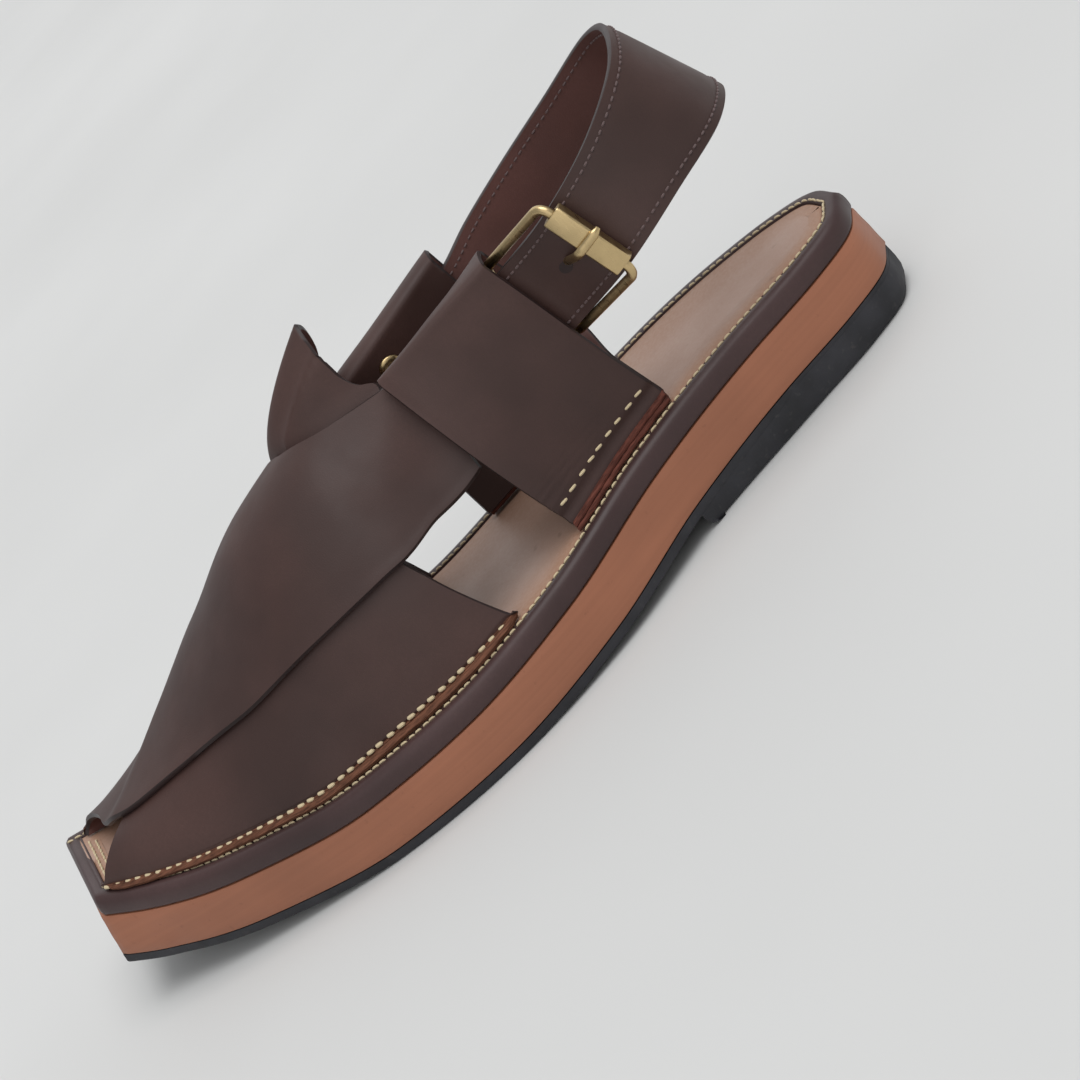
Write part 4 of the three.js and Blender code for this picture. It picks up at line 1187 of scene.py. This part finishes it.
def build_stitches(upper_rows, seams):
    ring = layer(inset(4.5, 0.6), RAND - 0.12)
    stitch_row("rand_stitches", ring, bed_normals(ring), CREAM, 2.6, 2.35, 0.72, 0.1)
    for name, distance in (("toe_stitches_outer", 6.9), ("toe_stitches_inner", 8.7)):
        toe = inset(distance)
        path = np.array([mix(toe[0], toe[-1], t) for t in np.linspace(0.03, 0.97, 40)])
        p = layer(path, RAND - 0.3)
        stitch_row(name, p, bed_normals(p), CREAM, 2.4, 2.2, 0.72, 0.1)
    for side in ("lateral", "medial"):
        row, normal = upper_rows[side]
        up = unit(normal + np.array([0, 0, 0.35]))
        stitch_row(f"flange_stitches_{side}", row + normal * 0.2, up, CREAM, 3.75, 2.6, 1.15, 0.1)
        p, n = seams[side]
        stitch_row(f"loop_stitches_{side}", p, n, CREAM, 4.3, 3.0, 0.9, 0.14)


build_outsole()
build_midsole()
build_rand()
build_insole()
UPPER_ROWS = build_upper()
SEAMS = build_loops()
build_strap()
build_buckle()
build_rivet()
build_stitches(UPPER_ROWS, SEAMS)

tab = nodes["buckle_tab"]
tab.data.materials.clear()
tab.data.materials.append(DARK)


# Floor, light and camera

FLOOR_HALF = 30.0
PHOTO_WIDTH = 1080
FOCAL_LENGTH = 2625.2
SENSOR = 36.0
CAMERA_PLACE = [-11.2, 662.2, 286.2]
CAMERA_RIGHT = [-0.716, 0.1303, -0.6858]
CAMERA_FORWARD = [0.1867, -0.9109, -0.3679]


def build_stage():
    mesh = bpy.data.meshes.new("floor")
    s = FLOOR_HALF
    mesh.from_pydata([(-s, -s, 0), (s, -s, 0), (s, s, 0), (-s, s, 0)], [], [(0, 1, 2, 3)])
    floor = bpy.data.objects.new("floor", mesh)
    g = Graph("floor_pale")
    tone = g.blend(g.band(g.noise(3, 3), 0.3, 0.7), (0.62, 0.62, 0.61), (0.66, 0.66, 0.65))
    mesh.materials.append(g.done(tone, None, None, Roughness=0.9, Specular_IOR_Level=0.1))
    bpy.context.scene.collection.objects.link(floor)


def build_light():
    for name, place, power, spread in (("key", (-0.5, 0.35, 1.6), 1.75, 50),
                                       ("fill", (0.4, 1.6, 0.8), 0.55, 70),
                                       ("back", (0.1, -1.0, 0.9), 0.45, 60)):
        data = bpy.data.lights.new(name, "SUN")
        data.energy = power
        data.angle = math.radians(spread)
        light = bpy.data.objects.new(name, data)
        light.rotation_mode = "QUATERNION"
        light.rotation_quaternion = (-Vector(place)).to_track_quat("-Z", "Y")
        bpy.context.scene.collection.objects.link(light)
    world = bpy.data.worlds.new("studio")
    bpy.context.scene.world = world
    world.use_nodes = True
    background = world.node_tree.nodes["Background"]
    background.inputs["Color"].default_value = (0.95, 0.97, 1.0, 1.0)
    background.inputs["Strength"].default_value = 0.42
    bpy.context.scene.view_settings.view_transform = "Standard"
    bpy.context.scene.view_settings.look = "None"


def build_camera():
    data = bpy.data.cameras.new("photo_camera")
    data.sensor_width = SENSOR
    data.lens = FOCAL_LENGTH / PHOTO_WIDTH * SENSOR
    data.clip_start = 0.01
    data.clip_end = 50.0
    camera = bpy.data.objects.new("photo_camera", data)
    place = (np.array(CAMERA_PLACE) + OFFSET) * 0.001
    right = unit(np.array(CAMERA_RIGHT))
    forward = unit(np.array(CAMERA_FORWARD))
    forward = unit(forward - right * np.dot(forward, right))
    up = -np.cross(forward, right)
    rows = [[right[k], up[k], -forward[k], place[k]] for k in range(3)]
    camera.matrix_world = Matrix(rows + [[0, 0, 0, 1]])
    bpy.context.scene.collection.objects.link(camera)
    bpy.context.scene.camera = camera


build_stage()
build_light()
build_camera()
bpy.context.view_layer.update()
